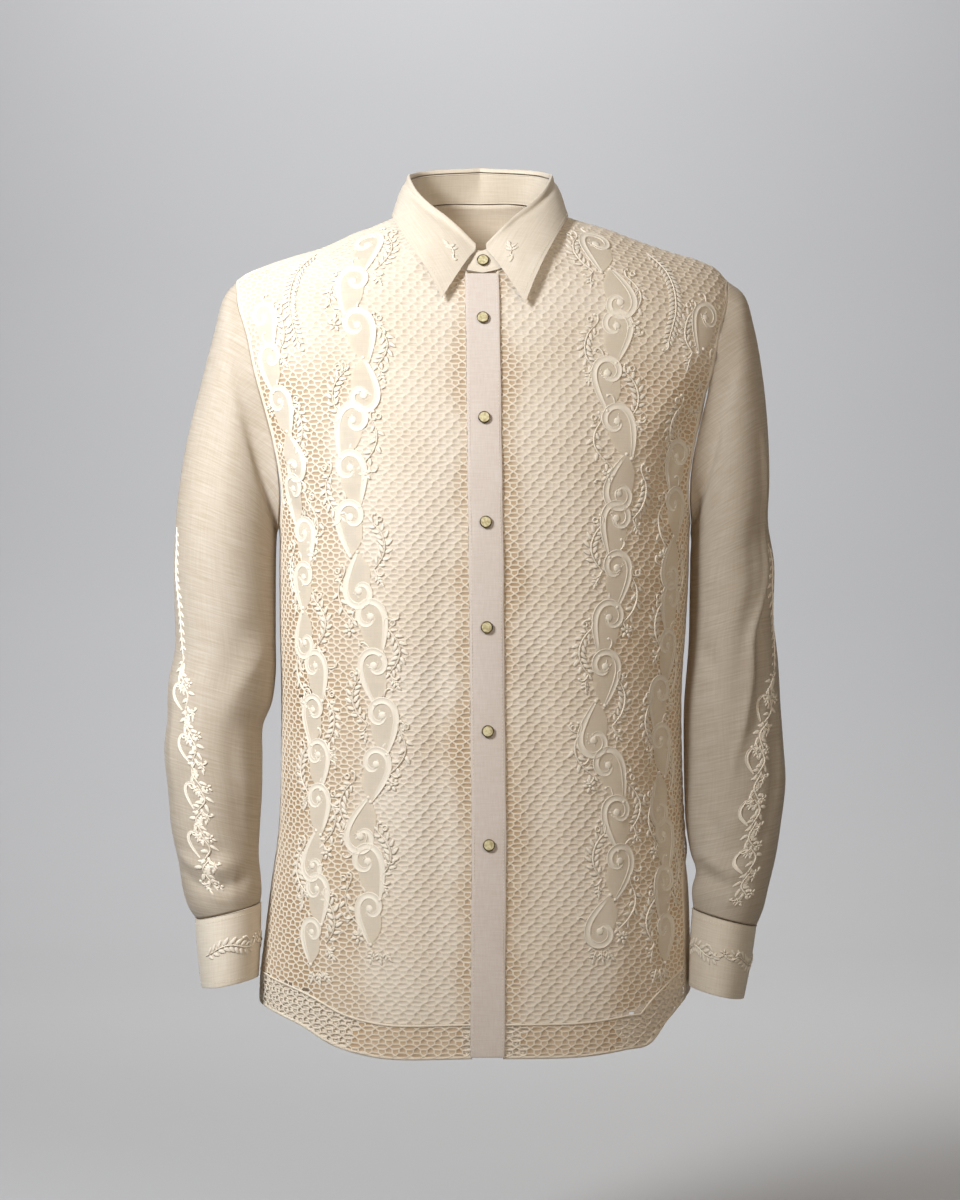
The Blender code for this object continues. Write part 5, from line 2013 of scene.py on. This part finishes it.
def neck_button_seat():
    """Where the neck button sits: on the lapped ends of the stand."""
    low, high = neck_seam(1, 0.0), collar_lines(1, 0.0)[0]
    low[2] += SEAM_GAP
    high[2] -= STAND_SEAM_DROP
    lift = LAYER_STEP * away_from_neck(low)
    up = (high - low) / np.linalg.norm(high - low)
    out = np.array([0.0, -up[2], up[1]])
    seat = low + lift + up * (NECK_BUTTON_HEIGHT - low[2]) / up[2]
    seat[0] = NECK_BUTTON_ACROSS
    return "button_collar", seat + out * WALL / 2, out, BUTTON_DIAMETER


def cuff_button_seat(side):
    """Where a cuff's button sits: on the cuff, under the middle of its solid."""
    name = "cuff_" + WORN_ON[side] + "_button"
    low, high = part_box(name)
    middle = (np.array(low) + np.array(high)) / 2 / MM
    lay = cuff_lay(side)
    out = lay.normals[lay.nearest(middle)]
    return name, middle - out * (BUTTON_THICKNESS / 2 + BUTTON_CLEARANCE), out, CUFF_BUTTON_DIAMETER


class BARONG_OT_seams(bpy.types.Operator):
    """Sew the seams and the topstitching"""

    bl_idname = "barong.seams"
    bl_label = "Seams and stitches"

    def execute(self, context):
        front = body_lay(False)
        top, foot = (front.flat(z, 0.0)[0][1] for z in (NECK_FRONT - 4, HEM_MIDDLE + 3))
        edge = PLACKET_WIDTH / 2 - 2.2
        rows = [[(x, top), (x, foot)] for x in (-edge, edge)]
        self.stitch("placket", front, rows, LAYER_STEP + 0.62, BEIGE_SLOT)
        stand = stand_lay()
        for name, lay, level in (("collar_fall", fall_lay(), 0.075), ("collar_stand", stand, 0.12)):
            self.stitch(name, lay, [lay.line(level, 0.985, 160)], 0.7, CREAM_SLOT)
        lines = [spaced(stand.line(level, ends, 160), 2.0) for level, ends in ((0.0, 0.995), (1.0, 0.9))]
        self.seam("collar_seams", stand, lines, 1.3, 1.0)
        for side in (-1, 1):
            lay = cuff_lay(side)
            line = spaced(lay.line(1.0, 0.97, 90), 2.0) + (0, 0.4)
            self.seam("cuff_" + WORN_ON[side] + "_seam", lay, [line], 1.4, 1.1)
        for side in (-1, 1):
            lay = cuff_lay(side)
            rows = [lay.line(level, 0.98, 120) for level in (0.07, 0.93)]
            self.stitch("cuff_" + WORN_ON[side], lay, rows, 0.7, CREAM_SLOT)
        return {"FINISHED"}

    def seam(self, name, lay, lines, half_width, high):
        """Sews rolled seams, each along a flat line."""
        shape = bmesh.new()
        for line in lines:
            rolled(shape, line, half_width, high, high)
        closed_up(shape)
        keep(name, shape, lay, [finish("plain_collar")])

    def stitch(self, name, lay, rows, off, slot):
        """Sews rows of topstitching, each along a flat path."""
        heap = Heap()
        for path in rows:
            topstitch(heap, path, off)
        keep(name + "_stitches", heap.whole(), lay, [finish("satin_thread")])


def topstitch(heap, path, off, every=3.1, length=2.3):
    """Adds a row of short raised stitches along a flat path."""
    path = spaced(path, 1.0)
    run = along(path, 0)[2]
    for start in np.arange(every / 2, run - every / 2, every):
        spot, way, _ = along(path, start)
        shape = heap.settle()
        made = bmesh.ops.create_icosphere(shape, subdivisions=1, radius=1.0)["verts"]
        set_down(shape, made, spot, off, way, (length / 2, 0.3, 0.22))


class BARONG_OT_stage(bpy.types.Operator):
    """Set up the pale floor, the soft light and the camera"""

    bl_idname = "barong.stage"
    bl_label = "Stage"

    def execute(self, context):
        stage = context.scene.barong.stage
        shape = bmesh.new()
        made = bmesh.ops.create_grid(shape, x_segments=24, y_segments=60, size=1.0)["verts"]
        for vert in made:
            y, z = sweep_place((vert.co.y + 1) / 2 * SWEEP_RUN)
            vert.co = (vert.co.x * SWEEP_REACH, y, z)
        mesh = bpy.data.meshes.new("backdrop")
        shape.to_mesh(mesh)
        shape.free()
        mesh.shade_smooth()
        backdrop = bpy.data.objects.new("backdrop", mesh)
        context.scene.collection.objects.link(backdrop)
        mesh.materials.append(paper_finish(linear(stage.floor)))
        for name, kind, place, aim, size, power, tint in LIGHTS:
            lamp = bpy.data.lights.new(name, kind)
            lamp.energy, lamp.color = getattr(stage, power), tint
            if kind == "SPOT":
                lamp.shadow_soft_size, lamp.spot_size, lamp.spot_blend = size, SPOT_CONE, 1.0
            else:
                lamp.size = size
            light = bpy.data.objects.new(name, lamp)
            light.location = place
            light.rotation_euler = (Vector(aim) - Vector(place)).to_track_quat("-Z", "Y").to_euler()
            context.scene.collection.objects.link(light)
        world = bpy.data.worlds.new("room")
        world.use_nodes = True
        glow = world.node_tree.nodes["Background"].inputs
        glow["Color"].default_value, glow["Strength"].default_value = (1.0, 0.975, 0.94, 1.0), stage.room
        context.scene.world = world
        view = bpy.data.cameras.new("camera")
        view.lens, view.sensor_width = stage.lens, 36.0
        camera = bpy.data.objects.new("camera", view)
        camera.location = (BODY["middle"][0] * MM, -stage.view_distance, stage.view_height)
        camera.rotation_euler = (math.pi / 2, 0.0, 0.0)
        context.scene.collection.objects.link(camera)
        context.scene.camera = camera
        context.scene.view_settings.view_transform = "Standard"
        return {"FINISHED"}


# The backdrop: the floor's height, the wall's distance, the radius of the curve between them, how far the
# floor reaches forward and each way aside, and the whole run from its front edge
FLOOR_HEIGHT = -1.05
WALL_DISTANCE = 4.8
SWEEP_RADIUS = 1.6
SWEEP_REACH = 12.0
SWEEP_RUN = 22.0
# Each light: its kind, its place, where it points, its size, the setting of its power, and its tint. The
# spot is the hard light of the room, and the others are broad and soft.
LIGHTS = (
    ("key_light", "SPOT", (-1.22, -1.42, 0.66), (-0.8, -0.1, 0.08), 0.3, "key", (0.95, 0.975, 1.0)),
    ("fill_light", "AREA", (0.9, -2.2, 0.6), (0.2, 0.0, -0.3), 1.2, "fill", (1.0, 0.87, 0.72)),
    ("back_light", "AREA", (0.5, 2.6, 1.9), (0.0, 0.0, -0.35), 1.6, "back", (1.0, 0.95, 0.88)),
    ("wall_light", "AREA", (-0.2, 2.6, 2.3), (-0.1, 4.8, 0.9), 1.6, "wall", (0.97, 0.98, 1.0)),
)
SPOT_CONE = math.radians(70)


def sweep_place(run):
    """The backdrop's section: along the floor towards the wall, then up it round a wide curve."""
    straight = WALL_DISTANCE - SWEEP_RADIUS + SWEEP_REACH
    if run < straight:
        return run - SWEEP_REACH, FLOOR_HEIGHT
    angle = (run - straight) / SWEEP_RADIUS
    if angle < math.pi / 2:
        return (
            WALL_DISTANCE - SWEEP_RADIUS + math.sin(angle) * SWEEP_RADIUS,
            FLOOR_HEIGHT + (1 - math.cos(angle)) * SWEEP_RADIUS,
        )
    return WALL_DISTANCE, FLOOR_HEIGHT + SWEEP_RADIUS + run - straight - SWEEP_RADIUS * math.pi / 2


class BARONG_PT_shirt(bpy.types.Panel):
    """Sizes, colours and pieces of the shirt"""

    bl_idname = "BARONG_PT_shirt"
    bl_label = "Barong tagalog"
    bl_space_type = "VIEW_3D"
    bl_region_type = "UI"
    bl_category = "Barong"

    def draw(self, context):
        settings = context.scene.barong
        for title, group in (
            ("Cloth", settings.cloth),
            ("Openwork", settings.openwork),
            ("Needlework", settings.needlework),
            ("Stage", settings.stage),
        ):
            box = self.layout.box()
            box.label(text=title)
            for name in group.__annotations__:
                box.prop(group, name)
        for operator in OPERATORS:
            self.layout.operator(operator.bl_idname)


GROUPS = (BarongCloth, BarongOpenwork, BarongNeedlework, BarongStage, BarongSettings)
OPERATORS = (
    BARONG_OT_fronts,
    BARONG_OT_back,
    BARONG_OT_bands,
    BARONG_OT_collar,
    BARONG_OT_sleeves,
    BARONG_OT_cuffs,
    BARONG_OT_buttons,
    BARONG_OT_needlework,
    BARONG_OT_seams,
    BARONG_OT_stage,
)


def register():
    for group in (*GROUPS, *OPERATORS, BARONG_PT_shirt):
        bpy.utils.register_class(group)
    bpy.types.Scene.barong = PointerProperty(type=BarongSettings)


def unregister():
    del bpy.types.Scene.barong
    for group in reversed((*GROUPS, *OPERATORS, BARONG_PT_shirt)):
        bpy.utils.unregister_class(group)


def main():
    register()
    for name in ("Cube", "Light", "Camera"):
        if name in bpy.data.objects:
            bpy.data.objects.remove(bpy.data.objects[name])
    bpy.context.scene.collection.children.link(garment)
    bpy.ops.barong.fronts()
    bpy.ops.barong.back()
    bpy.ops.barong.bands()
    bpy.ops.barong.collar()
    bpy.ops.barong.sleeves()
    bpy.ops.barong.cuffs()
    bpy.ops.barong.buttons()
    bpy.ops.barong.needlework()
    bpy.ops.barong.seams()
    bpy.ops.barong.stage()


if __name__ == "__main__":
    main()
